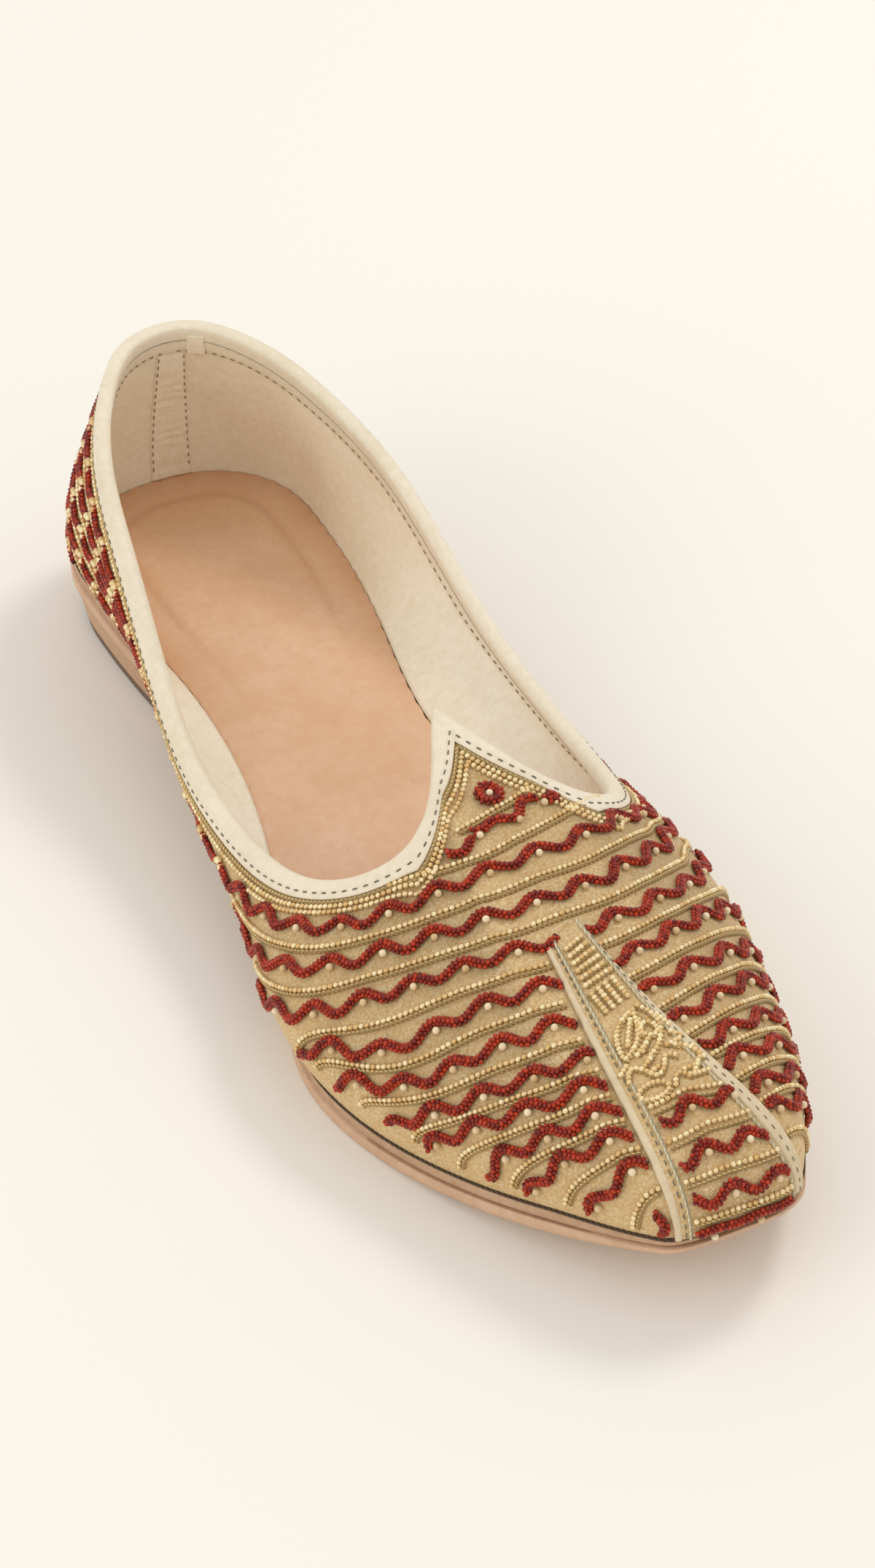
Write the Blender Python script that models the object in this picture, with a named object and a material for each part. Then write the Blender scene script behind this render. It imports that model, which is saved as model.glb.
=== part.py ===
"""Mojari for the right foot: a square-toed slip-on with a pointed throat, a bound top line and a low heel.

Sizes are in millimetres, the meshes in metres. The toe points to -Y and +X is the inner side of the foot.
A place on the shoe is its station (distance from the back of the heel), its x and its height z. The upper
is one smooth skin: strips run from the sole's edge up to the rim, and everything that lies on the upper,
in it or round its rim is worked out from that same skin.
"""
import math
from functools import lru_cache

import bmesh
import bpy
import numpy as np

MM = 0.001
OBJECT_NAME = "mojari_shoe"

# Sole, in plan
LENGTH = 280.0
HEEL_WIDTH = 62.0
WAIST_WIDTH = 50.0
BALL_WIDTH = 95.5
TOE_WIDTH = 34.0
HEEL_ROUND = 30.0
OUTER_TOE_ROUND = 4.5
INNER_TOE_ROUND = 10.0
HEEL_SQUARENESS = 2.3
TOE_SQUARENESS = 3.6

# Sole, from the side
HEEL_HEIGHT = 11.0
HEEL_LENGTH = 72.0
HEEL_TAPER = 2.0
TOP_PIECE_THICKNESS = 2.4
OUTSOLE_THICKNESS = 3.0
MIDSOLE_THICKNESS = 2.7
INSOLE_THICKNESS = 1.6
TOE_SPRING = 17.0
TOE_PARING = 28.0
TOE_THINNESS = 0.5
TREAD_START = 160.0
TREAD_END = 208.0
EDGE_BEVEL = 0.8

# Upper
WALL = 2.0
BACK_HEIGHT = 65.7
SIDE_HEIGHT = 28.5
THROAT_HEIGHT = 54.0
OPENING_WIDTH = 75.5
THROAT_POINT = 152.0
THROAT_DEPTH = 27.0
BACK_LEAN = 8.5
UPPER_SET_IN = 1.0
MIDSOLE_SET_IN = 0.7

# Top line binding and toe band
BINDING_LEG = 4.6
BINDING_INNER_LEG = 7.0
BINDING_THICKNESS = 1.0
BAND_THICKNESS = 1.2

# Gap between pieces that touch, round the rim under its folded binding, and between insole and lining
GAP = 0.3
BINDING_GAP = 0.4
INSOLE_CLEARANCE = 0.7

# How finely the forms are cut, and the share of the skin that is searched for a place below the rim
COLUMNS = 100
SKIN_ROWS = 12
END_CROWDING = 0.3
FOOT_CROWDING = 1.2
BAND_ROWS = 12
SOLE_STATIONS = 40
HEEL_STATIONS = 12
OUTLINE_SAMPLES = 1200
RIM_SAMPLES = 60
RIM_SEARCH = 0.6

LATERAL = -1
MEDIAL = 1

# Outline of the sole: station (share of the length), the width that the row follows, and the shares of it
# that lie on the outer and on the inner side of the foot
OUTLINE = (
    # station, width, outer, inner
    (0.00, HEEL_WIDTH, 0.492, 0.484),
    (0.10, HEEL_WIDTH, 0.508, 0.492),
    (0.18, HEEL_WIDTH, 0.503, 0.476),
    (0.28, WAIST_WIDTH, 0.576, 0.505),
    (0.40, WAIST_WIDTH, 0.570, 0.430),
    (0.50, WAIST_WIDTH, 0.690, 0.590),
    (0.60, BALL_WIDTH, 0.461, 0.425),
    (0.68, BALL_WIDTH, 0.520, 0.480),
    (0.76, BALL_WIDTH, 0.486, 0.464),
    (0.85, BALL_WIDTH, 0.380, 0.383),
    (0.93, TOE_WIDTH, 0.725, 0.810),
    (1.00, TOE_WIDTH, 0.365, 0.445),
)

# Stations round the lobes of the opening, on either side of the throat's point
LOBE_BACK = THROAT_POINT + 0.42 * THROAT_DEPTH
LOBE_TIP = THROAT_POINT + 0.95 * THROAT_DEPTH
LOBE_FRONT = THROAT_POINT + 0.85 * THROAT_DEPTH

# The rim on both sides, from the back of the heel to the point of the throat
RIM = (
    # way, station, outer half width, inner half width, height
    (0.000, BACK_LEAN, 0.0, 0.0, BACK_HEIGHT),
    (0.055, 1.35 * BACK_LEAN, 0.145 * OPENING_WIDTH, 0.145 * OPENING_WIDTH, 0.985 * BACK_HEIGHT),
    (0.110, 2.5 * BACK_LEAN, 0.258 * OPENING_WIDTH, 0.258 * OPENING_WIDTH, 0.955 * BACK_HEIGHT),
    (0.200, 0.25 * THROAT_POINT, 0.370 * OPENING_WIDTH, 0.370 * OPENING_WIDTH, 0.875 * BACK_HEIGHT),
    (0.340, 0.44 * THROAT_POINT, 0.460 * OPENING_WIDTH, 0.445 * OPENING_WIDTH, 1.75 * SIDE_HEIGHT),
    (0.500, 0.65 * THROAT_POINT, 0.522 * OPENING_WIDTH, 0.485 * OPENING_WIDTH, 1.22 * SIDE_HEIGHT),
    (0.660, 0.87 * THROAT_POINT, 0.548 * OPENING_WIDTH, 0.500 * OPENING_WIDTH, 1.00 * SIDE_HEIGHT),
    (0.770, LOBE_BACK, 0.492 * OPENING_WIDTH, 0.462 * OPENING_WIDTH, 1.10 * SIDE_HEIGHT),
    (0.860, LOBE_TIP, 0.335 * OPENING_WIDTH, 0.330 * OPENING_WIDTH, 0.755 * THROAT_HEIGHT),
    (0.925, LOBE_FRONT, 0.190 * OPENING_WIDTH, 0.190 * OPENING_WIDTH, 0.875 * THROAT_HEIGHT),
    (1.000, THROAT_POINT, 0.0, 0.0, THROAT_HEIGHT),
)

# Strips of the skin, from the back of the heel to the toe: where each starts on the sole's edge and ends on
# the rim, how many degrees it leans out at its foot and in at the rim on the outer and on the inner side,
# and which shares of its reach it runs on at either end before it bends
STRIPS = (
    # way round sole, way round rim, outer foot, inner foot, outer rim, inner rim, run at foot, run at rim
    (0.00, 0.000, 6.0, 6.0, 10.0, 10.0, 0.36, 0.34),
    (0.09, 0.095, 7.0, 7.0, 10.0, 10.0, 0.36, 0.34),
    (0.20, 0.230, 14.0, 16.0, 14.0, 12.0, 0.36, 0.34),
    (0.34, 0.440, 56.0, 56.0, 26.0, 16.0, 0.44, 0.34),
    (0.47, 0.640, 66.0, 44.0, 48.0, 32.0, 0.54, 0.38),
    (0.60, 0.770, 54.0, 18.0, 62.0, 50.0, 0.50, 0.42),
    (0.72, 0.845, 24.0, 5.0, 64.0, 62.0, 0.40, 0.44),
    (0.84, 0.905, 8.0, 6.0, 70.0, 70.0, 0.27, 0.46),
    (0.94, 0.960, 8.0, 8.0, 74.0, 74.0, 0.20, 0.50),
    (1.00, 1.000, 8.0, 8.0, 75.0, 75.0, 0.19, 0.50),
)

# The toe band's two edges, from the sole up to its narrow end: how far up the strips each row lies, and how
# far from the toe's middle each edge is, as a share of the way all round the sole
BAND = (
    # up the strip, outer edge, inner edge
    (0.01, 0.0190, 0.0270),
    (0.15, 0.0190, 0.0240),
    (0.29, 0.0185, 0.0200),
    (0.42, 0.0178, 0.0142),
    (0.55, 0.0165, 0.0078),
    (0.68, 0.0145, 0.0028),
)

# Cut across the toe band: raised cords along both edges of a flat panel
BAND_SECTION = (
    # share across, share of the thickness
    (-1.00, 0.55),
    (-0.92, 1.00),
    (-0.76, 1.00),
    (-0.68, 0.60),
    (-0.40, 0.60),
    (-0.14, 0.60),
    (0.14, 0.60),
    (0.40, 0.60),
    (0.68, 0.60),
    (0.76, 1.00),
    (0.92, 1.00),
    (1.00, 0.55),
)


def spline(knots, values, level_start=False, level_end=False):
    """Smooth curve through the values; an end is level where the two halves of the shoe meet."""
    k = np.asarray(knots, float)
    y = np.asarray(values, float)
    step = np.diff(k)
    rise = np.diff(y) / step
    count = len(k)
    system = np.zeros((count, count))
    known = np.zeros(count)
    for i in range(1, count - 1):
        system[i, i - 1:i + 2] = step[i], 2 * (step[i - 1] + step[i]), step[i - 1]
        known[i] = 3 * (step[i] * rise[i - 1] + step[i - 1] * rise[i])
    for level, end, inner, slope in ((level_start, 0, 1, rise[0]), (level_end, -1, -2, rise[-1])):
        system[end, end] = 1 if level else 2
        system[end, inner] = 0 if level else 1
        known[end] = 0 if level else 3 * slope
    tangent = np.linalg.solve(system, known)

    def at(place):
        i = np.clip(np.searchsorted(k, place, side="right") - 1, 0, count - 2)
        t = (place - k[i]) / step[i]
        near = y[i] * (1 + 2 * t) * (1 - t) ** 2 + tangent[i] * step[i] * t * (1 - t) ** 2
        far = y[i + 1] * t ** 2 * (3 - 2 * t) + tangent[i + 1] * step[i] * t ** 2 * (t - 1)
        return near + far

    return at


def column(table, index):
    return [row[index] for row in table]


def ease(share):
    """0 to 1 with level ends."""
    share = np.clip(share, 0, 1)
    return share * share * (3 - 2 * share)


def ground(station):
    """Height of the outsole's underside: seat of the heel, waist, flat tread, toe spring."""
    waist = HEEL_HEIGHT * (1 - ease((station - HEEL_LENGTH) / (TREAD_START - HEEL_LENGTH)))
    rise = np.clip((station - TREAD_END) / (LENGTH - TREAD_END), 0, None)
    return waist + TOE_SPRING * rise ** 2


def thinning(station):
    """The sole's layers are pared down towards the toe."""
    return 1 - (1 - TOE_THINNESS) * ease((station - LENGTH + TOE_PARING) / TOE_PARING)


def stack(outsole, midsole, gaps, above=0.0):
    """Height of a face that lies on so much of the outsole, the midsole and the gaps between the pieces."""
    layers = outsole * OUTSOLE_THICKNESS + midsole * MIDSOLE_THICKNESS
    return lambda station: ground(station) + layers * thinning(station) + gaps * GAP + above


FOOT_OF_UPPER = stack(1, 1, 2)


def end_rounding(side, station, inset):
    """Share of the full width that is left near the round heel and the square toe."""
    toe_round = OUTER_TOE_ROUND if side == LATERAL else INNER_TOE_ROUND
    back = np.clip((inset + HEEL_ROUND - station) / HEEL_ROUND, 0, 1)
    front = np.clip((station - (LENGTH - inset - toe_round)) / toe_round, 0, 1)
    heel = (1 - back ** HEEL_SQUARENESS) ** (1 / HEEL_SQUARENESS)
    toe = (1 - front ** TOE_SQUARENESS) ** (1 / TOE_SQUARENESS)
    return heel * toe


@lru_cache(maxsize=None)
def side_width(side):
    share = 2 if side == LATERAL else 3
    widths = [row[1] * row[share] for row in OUTLINE]
    return spline(column(OUTLINE, 0), widths)


def half_width(side, station, inset):
    """Distance of the sole's edge from the middle line, on one side."""
    return (side_width(side)(station / LENGTH) - inset) * end_rounding(side, station, inset)


@lru_cache(maxsize=None)
def half_outline(side, inset):
    """Way round, x, station and the direction out of the sole's edge, from heel to toe on one side."""
    turn = np.linspace(0, math.pi, OUTLINE_SAMPLES + 1)
    station = inset + (LENGTH - 2 * inset) * (1 - np.cos(turn)) / 2
    x = side * half_width(side, station, inset)
    run = np.concatenate([[0], np.cumsum(np.hypot(np.diff(x), np.diff(station)))])
    even = np.linspace(0, run[-1], OUTLINE_SAMPLES + 1)
    x = np.interp(even, run, x)
    station = np.interp(even, run, station)
    way_x = np.gradient(x)
    way_s = np.gradient(station)
    size = np.hypot(way_x, way_s)
    return even / run[-1], x, station, side * way_s / size, -side * way_x / size


def lateral_half(around):
    """Half of the shoe and way from heel to toe, for a share of the way all round it."""
    around = np.mod(around, 1.0)
    outer = around <= 0.5
    return outer, np.where(outer, 2 * around, 2 - 2 * around)


def both_halves(around, read):
    """Reads a function of (side, way) on whichever side each place is."""
    outer, way = lateral_half(around)
    pair = zip(read(LATERAL, way), read(MEDIAL, way))
    return [np.where(outer, a, b) for a, b in pair]


def foot_line(around):
    """Where the skin meets the sole: x, station, and the direction out of the edge there."""
    def read(side, way):
        share, x, station, out_x, out_s = half_outline(side, UPPER_SET_IN)
        return [np.interp(way, share, row) for row in (x, station, out_x, out_s)]

    return both_halves(around, read)


def strip_value(index, level=True):
    """Value along the strips, from the heel to the toe."""
    return spline(column(STRIPS, 0), column(STRIPS, index), level, level)


RIM_WAY = strip_value(1, level=False)
FOOT_LEAN = {LATERAL: strip_value(2), MEDIAL: strip_value(3)}
RIM_LEAN = {LATERAL: strip_value(4), MEDIAL: strip_value(5)}
FOOT_RUN = strip_value(6)
RIM_RUN = strip_value(7)
RIM_STATION = spline(column(RIM, 0), column(RIM, 1), True, False)
RIM_WIDTH = {LATERAL: spline(column(RIM, 0), column(RIM, 2)), MEDIAL: spline(column(RIM, 0), column(RIM, 3))}
RIM_HEIGHT = spline(column(RIM, 0), column(RIM, 4), True, False)


def rim_line(around):
    """The upper's top edge: x, station, height."""
    def read(side, way):
        rim_way = np.clip(RIM_WAY(way), 0, 1)
        return side * RIM_WIDTH[side](rim_way), RIM_STATION(rim_way), RIM_HEIGHT(rim_way)

    return both_halves(around, read)


def leans(around):
    """How far the strips lean at the foot and at the rim, in radians."""
    def read(side, way):
        return np.radians(FOOT_LEAN[side](way)), np.radians(RIM_LEAN[side](way))

    return both_halves(around, read)


def skin(around, up):
    """Outer face of the upper as x, station, z: around is 0.5 at the toe, up is 1 at the rim."""
    around, up = np.broadcast_arrays(np.asarray(around, float), np.asarray(up, float))
    way = lateral_half(around)[1]
    foot_x, foot_s, out_x, out_s = foot_line(around)
    rim_x, rim_s, rim_z = rim_line(around)
    foot_z = FOOT_OF_UPPER(foot_s)
    foot = np.stack([foot_x, foot_s, foot_z], -1)
    rim = np.stack([rim_x, rim_s, rim_z], -1)
    reach = np.linalg.norm(rim - foot, axis=-1)[..., None]
    foot_lean, rim_lean = leans(around)
    rise = np.stack([out_x * np.sin(foot_lean), out_s * np.sin(foot_lean), np.cos(foot_lean)], -1)
    away_x = foot_x - rim_x + OPENING_WIDTH / 2 * out_x
    away_s = foot_s - rim_s + OPENING_WIDTH / 2 * out_s
    away = np.hypot(away_x, away_s)
    fall_x = away_x / away * np.sin(rim_lean)
    fall_s = away_s / away * np.sin(rim_lean)
    fall = np.stack([fall_x, fall_s, -np.cos(rim_lean)], -1)
    low = foot + rise * reach * FOOT_RUN(way)[..., None]
    high = rim + fall * reach * RIM_RUN(way)[..., None]
    t = up[..., None]
    return foot * (1 - t) ** 3 + 3 * low * t * (1 - t) ** 2 + 3 * high * t ** 2 * (1 - t) + rim * t ** 3


def skin_normal(around, up):
    """Direction out of the skin."""
    step = 0.003
    high = np.clip(up + step, 0, 1)
    low = np.clip(up - step, 0, 1)
    along = skin(around + step, up) - skin(around - step, up)
    rise = skin(around, high) - skin(around, low)
    normal = np.cross(rise, along)
    return normal / np.linalg.norm(normal, axis=-1)[..., None]


def layer(around, up, offset):
    """Points so far outside the skin, or inside it where the offset is below zero."""
    around, up = np.broadcast_arrays(np.asarray(around, float), np.asarray(up, float))
    return skin(around, up) + np.asarray(offset)[..., None] * skin_normal(around, up)


def in_metres(points):
    """From x, station, z to the frame, toe towards -Y."""
    points = np.asarray(points, float)
    return np.stack([points[..., 0], LENGTH / 2 - points[..., 1], points[..., 2]], -1) * MM


def material(name, colour, roughness):
    made = bpy.data.materials.new(name)
    made.use_nodes = True
    shader = made.node_tree.nodes["Principled BSDF"]
    shader.inputs["Base Color"].default_value = (*colour, 1.0)
    shader.inputs["Roughness"].default_value = roughness
    shader.inputs["Metallic"].default_value = 0.0
    return made


def finish(name, form, look, collection):
    """Turns a closed form into an object with its faces out."""
    bmesh.ops.recalc_face_normals(form, faces=form.faces)
    mesh = bpy.data.meshes.new(name)
    form.to_mesh(mesh)
    form.free()
    mesh.materials.append(look)
    mesh.shade_smooth()
    mesh.set_sharp_from_angle(angle=math.radians(35))
    made = bpy.data.objects.new(name, mesh)
    collection.objects.link(made)
    return made


def joined_loops(loops, closed):
    """Faces between neighbouring loops of points; closed joins the last loop to the first."""
    form = bmesh.new()
    rows = [[form.verts.new(point) for point in in_metres(loop)] for loop in loops]
    pairs = list(zip(rows, rows[1:] + rows[:1] if closed else rows[1:]))
    for near, far in pairs:
        for i in range(len(near)):
            j = (i + 1) % len(near)
            form.faces.new((near[i], near[j], far[j], far[i]))
    return form, rows


def plate_stations(end, count, inset):
    """Stations from the back of the heel, evenly spread along the sole's outer edge."""
    share, _, station, _, _ = half_outline(LATERAL, inset)
    last = np.interp(end, station, share)
    stations = np.interp(np.linspace(0, last, count + 1), share, station)
    stations[-1] = min(end, LENGTH - inset)
    return stations


def cap(form, row, count):
    """Closes a plate's face with strips from the outer edge to the inner one."""
    for i in range(count):
        corners = (row[i], row[i + 1], row[-i - 1], row[-i])
        form.faces.new(tuple(dict.fromkeys(corners)))


def plate(levels, end, count):
    """Closed solid with the sole's outline; a level is an inset and a height that depends on the station."""
    toe_closed = end >= LENGTH
    loops = []
    for inset, height in levels:
        stations = plate_stations(end, count, inset)
        outer = [(LATERAL * half_width(LATERAL, s, inset), s, height(s)) for s in stations]
        inner = [(MEDIAL * half_width(MEDIAL, s, inset), s, height(s)) for s in stations]
        outer[0] = (0.0, stations[0], height(stations[0]))
        if toe_closed:
            outer[-1] = (0.0, stations[-1], height(stations[-1]))
            inner = inner[:-1]
        loops.append(outer + inner[:0:-1])
    form, rows = joined_loops(loops, closed=False)
    cap(form, rows[0], count)
    cap(form, rows[-1], count)
    return form


def outsole():
    """Bottom layer, bevelled round its tread and, finely, under the midsole."""
    bevel = EDGE_BEVEL / OUTSOLE_THICKNESS
    levels = (
        (EDGE_BEVEL, ground),
        (0.0, stack(bevel, 0, 0)),
        (0.0, stack(1 - bevel / 2, 0, 0)),
        (EDGE_BEVEL / 2, stack(1, 0, 0)),
    )
    return plate(levels, LENGTH, SOLE_STATIONS)


def midsole():
    bevel = EDGE_BEVEL / MIDSOLE_THICKNESS
    levels = (
        (MIDSOLE_SET_IN + EDGE_BEVEL / 2, stack(1, 0, 1)),
        (MIDSOLE_SET_IN, stack(1, bevel / 2, 1)),
        (MIDSOLE_SET_IN, stack(1, 1, 1)),
    )
    return plate(levels, LENGTH, SOLE_STATIONS)


def insole():
    inset = UPPER_SET_IN + WALL + INSOLE_CLEARANCE
    levels = (
        (inset, FOOT_OF_UPPER),
        (inset, stack(1, 1, 2, INSOLE_THICKNESS)),
    )
    return plate(levels, LENGTH, SOLE_STATIONS)


def heel_inset(height):
    """The heel stands in a little from the sole and tapers down to its top piece."""
    return MIDSOLE_SET_IN + HEEL_TAPER * (1 - height / HEEL_HEIGHT)


def heel_block():
    bottom = TOP_PIECE_THICKNESS + GAP
    top = HEEL_HEIGHT - GAP
    levels = [(heel_inset(height), lambda s, height=height: height) for height in (bottom, top)]
    return plate(levels, HEEL_LENGTH, HEEL_STATIONS)


def heel_top_piece():
    levels = [(heel_inset(height), lambda s, height=height: height) for height in (0.0, TOP_PIECE_THICKNESS)]
    return plate(levels, HEEL_LENGTH, HEEL_STATIONS)


def skin_columns():
    """Places round the shoe where the skin's strips run, closer together at the heel and the toe."""
    even = np.arange(COLUMNS) / COLUMNS
    return even - END_CROWDING * np.sin(4 * math.pi * even) / (4 * math.pi)


def skin_rows():
    """Rows up the skin, closer together at the foot, where it turns most."""
    return np.linspace(0, 1, SKIN_ROWS + 1) ** FOOT_CROWDING


def upper():
    """Hollow shell: outer and inner face, joined round the rim and round the foot."""
    around = skin_columns()
    rows = skin_rows()
    outside = [layer(around, up, 0.0) for up in rows]
    inside = [layer(around, up, -WALL) for up in rows[::-1]]
    return joined_loops(outside + inside, closed=True)[0]


def rim_miter(around):
    """How much longer a strip's way to a line beside the rim is than the straight way."""
    step = 0.002
    fall = 0.02
    longest = 2.0
    outer = lateral_half(around)[0]
    ahead = np.where(outer, around - step, around + step)
    along = skin(ahead, 1.0) - skin(around, 1.0)
    down = skin(around, 1.0 - fall) - skin(around, 1.0)
    along /= np.linalg.norm(along, axis=-1)[..., None]
    down /= np.linalg.norm(down, axis=-1)[..., None]
    across = np.linalg.norm(np.cross(along, down), axis=-1)
    return 1 / np.clip(across, 1 / longest, 1)


def below_rim(around, depth, offset):
    """Points so far down the skin from the rim, or beyond the rim where depth is below zero."""
    reach = depth * rim_miter(around)
    ups = np.linspace(1.0, 1.0 - RIM_SEARCH, RIM_SAMPLES + 1)
    strips = skin(around[:, None], ups[None, :])
    steps = np.linalg.norm(np.diff(strips, axis=1), axis=-1)
    run = np.concatenate([np.zeros((len(around), 1)), np.cumsum(steps, axis=1)], axis=1)
    up = np.array([np.interp(r, way, ups) for r, way in zip(np.maximum(reach, 0), run)])
    points = layer(around, up, np.full(len(around), float(offset)))
    rise = strips[:, 0] - strips[:, 1]
    rise /= np.linalg.norm(rise, axis=-1)[..., None]
    return points + rise * np.maximum(-reach, 0)[..., None]


def binding_section():
    """Depth below the rim and offset from the skin, round the folded strip: outer leg, fold, inner leg."""
    near = BINDING_GAP
    far = BINDING_GAP + BINDING_THICKNESS
    inner_near = -WALL - near
    inner_far = -WALL - far
    shoulder = 0.7
    outside = [(BINDING_LEG, near), (BINDING_LEG, far), (BINDING_LEG / 2, far), (0.0, far)]
    edge = shoulder * near
    fold = [(-shoulder * far, edge), (-far, -WALL / 2), (-shoulder * far, -WALL - edge)]
    inside = [(0.0, inner_far), (BINDING_INNER_LEG / 2, inner_far), (BINDING_INNER_LEG, inner_far)]
    lining = [(BINDING_INNER_LEG, inner_near), (BINDING_INNER_LEG / 2, inner_near), (-near, inner_near)]
    facing = [(-near, near), (BINDING_LEG / 2, near)]
    return outside + fold + inside + lining + facing


def topline_binding():
    around = skin_columns()
    loops = [below_rim(around, depth, offset) for depth, offset in binding_section()]
    return joined_loops(loops, closed=True)[0]


def toe_band():
    """Strip over the toe, cut between two larger copies of the skin."""
    ups = np.linspace(BAND[0][0], BAND[-1][0], BAND_ROWS + 1)
    outer = spline(column(BAND, 0), column(BAND, 1))(ups)
    inner = spline(column(BAND, 0), column(BAND, 2))(ups)
    share = np.array(column(BAND_SECTION, 0))
    thick = GAP + BAND_THICKNESS * np.array(column(BAND_SECTION, 1))
    loops = []
    for up, left, right in zip(ups, outer, inner):
        around = 0.5 + np.where(share < 0, share * left, share * right)
        face = layer(around, up, thick)
        back = layer(around, up, np.full(len(share), GAP))
        loops.append(np.concatenate([face, back[::-1]]))
    form, rows = joined_loops(loops, closed=False)
    for row in (rows[0], rows[-1]):
        for i in range(len(share) - 1):
            form.faces.new((row[i], row[i + 1], row[-2 - i], row[-1 - i]))
    return form


def main():
    for old in list(bpy.data.objects):
        bpy.data.objects.remove(old, do_unlink=True)
    collection = bpy.data.collections.new(OBJECT_NAME)
    bpy.context.scene.collection.children.link(collection)
    sole_leather = material("sole_leather", (0.56, 0.36, 0.22), 0.55)
    midsole_leather = material("midsole_leather", (0.45, 0.28, 0.17), 0.6)
    heel_leather = material("heel_leather", (0.50, 0.33, 0.20), 0.55)
    heel_rubber = material("heel_rubber", (0.10, 0.07, 0.05), 0.7)
    insole_leather = material("insole_leather", (0.68, 0.42, 0.25), 0.45)
    gold_cloth = material("gold_cloth", (0.58, 0.42, 0.17), 0.6)
    cream_leather = material("cream_leather", (0.82, 0.74, 0.60), 0.5)
    band_cloth = material("band_cloth", (0.66, 0.54, 0.32), 0.6)
    pieces = (
        ("outsole", outsole, sole_leather),
        ("midsole", midsole, midsole_leather),
        ("heel_block", heel_block, heel_leather),
        ("heel_top_piece", heel_top_piece, heel_rubber),
        ("insole", insole, insole_leather),
        ("upper", upper, gold_cloth),
        ("topline_binding", topline_binding, cream_leather),
        ("toe_band", toe_band, band_cloth),
    )
    made = [finish(name, form(), look, collection) for name, form, look in pieces]
    stand_on_origin(made, collection)


def stand_on_origin(pieces, collection):
    """Puts the middle of the shoe's box over the origin."""
    corners = np.array([vertex.co for piece in pieces for vertex in piece.data.vertices])
    middle = (corners.min(axis=0) + corners.max(axis=0)) / 2
    root = bpy.data.objects.new("root", None)
    root.location = (-middle[0], -middle[1], 0.0)
    collection.objects.link(root)
    for piece in pieces:
        piece.parent = root


main()
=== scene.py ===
"""Mojari for the right foot: looks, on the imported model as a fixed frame.

Shapes are worked out in millimetres. A place on the upper is told by how far it lies around the shoe (0 at
the heel, 0.25 on the outer side, 0.5 at the toe, 0.75 on the inner side) and how far up the skin it lies
(0 at the sole, 1 at the rim).
"""
import math
from collections import namedtuple
from functools import lru_cache

import bmesh
import bpy
import numpy as np
from mathutils import Matrix, Vector


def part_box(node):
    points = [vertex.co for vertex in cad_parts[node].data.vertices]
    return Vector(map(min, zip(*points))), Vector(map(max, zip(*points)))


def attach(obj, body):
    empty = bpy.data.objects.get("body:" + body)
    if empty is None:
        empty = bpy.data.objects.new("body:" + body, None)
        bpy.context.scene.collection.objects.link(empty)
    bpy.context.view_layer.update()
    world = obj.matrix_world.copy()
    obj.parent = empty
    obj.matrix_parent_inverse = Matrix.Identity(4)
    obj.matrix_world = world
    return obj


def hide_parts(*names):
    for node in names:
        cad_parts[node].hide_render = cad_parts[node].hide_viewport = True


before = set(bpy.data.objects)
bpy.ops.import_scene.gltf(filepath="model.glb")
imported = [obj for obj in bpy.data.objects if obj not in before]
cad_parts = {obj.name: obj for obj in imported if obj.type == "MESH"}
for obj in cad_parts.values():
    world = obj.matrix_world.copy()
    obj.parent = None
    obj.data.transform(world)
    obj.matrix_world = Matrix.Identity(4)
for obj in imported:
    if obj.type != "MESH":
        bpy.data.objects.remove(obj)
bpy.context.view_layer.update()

MM = 0.001
LATERAL = -1
MEDIAL = 1
MIDDLE = 0.5

# Sole, in plan
LENGTH = 280.0
HEEL_WIDTH = 62.0
WAIST_WIDTH = 50.0
BALL_WIDTH = 95.5
TOE_WIDTH = 34.0
HEEL_ROUND = 30.0
OUTER_TOE_ROUND = 4.5
INNER_TOE_ROUND = 10.0
HEEL_SQUARENESS = 2.3
TOE_SQUARENESS = 3.6

# Sole, from the side
HEEL_HEIGHT = 11.0
HEEL_LENGTH = 72.0
HEEL_TAPER = 2.0
TOP_PIECE_THICKNESS = 2.4
OUTSOLE_THICKNESS = 3.0
MIDSOLE_THICKNESS = 2.7
INSOLE_THICKNESS = 1.6
TOE_SPRING = 17.0
TOE_PARING = 28.0
TOE_THINNESS = 0.5
TREAD_START = 160.0
TREAD_END = 208.0

# Upper
WALL = 2.0
BACK_HEIGHT = 65.7
SIDE_HEIGHT = 28.5
THROAT_HEIGHT = 54.0
OPENING_WIDTH = 75.5
THROAT_POINT = 152.0
THROAT_DEPTH = 27.0
BACK_LEAN = 8.5
UPPER_SET_IN = 1.0
MIDSOLE_SET_IN = 0.7

# Top line binding, and the gaps between the layers
BINDING_LEG = 4.1
BINDING_INNER_LEG = 7.0
BINDING_THICKNESS = 0.65
GAP = 0.3
BINDING_GAP = 0.15
BINDING_TOP = BINDING_GAP + BINDING_THICKNESS

# How finely outlines and rims are read, and the angle from which an edge is sharp
OUTLINE_SAMPLES = 1200
RIM_SAMPLES = 60
RIM_SEARCH = 0.6
SOLE_CUTS = 200
HEEL_CUTS = 60
SHARP = math.radians(50)

# Outline of the sole: station as a share of the length, the width that the row follows, outer and inner share
OUTLINE = (
    (0.00, HEEL_WIDTH, 0.492, 0.484),
    (0.10, HEEL_WIDTH, 0.508, 0.492),
    (0.18, HEEL_WIDTH, 0.503, 0.476),
    (0.28, WAIST_WIDTH, 0.576, 0.505),
    (0.40, WAIST_WIDTH, 0.570, 0.430),
    (0.50, WAIST_WIDTH, 0.690, 0.590),
    (0.60, BALL_WIDTH, 0.461, 0.425),
    (0.68, BALL_WIDTH, 0.520, 0.480),
    (0.76, BALL_WIDTH, 0.486, 0.464),
    (0.85, BALL_WIDTH, 0.380, 0.383),
    (0.93, TOE_WIDTH, 0.725, 0.810),
    (1.00, TOE_WIDTH, 0.365, 0.445),
)

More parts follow.
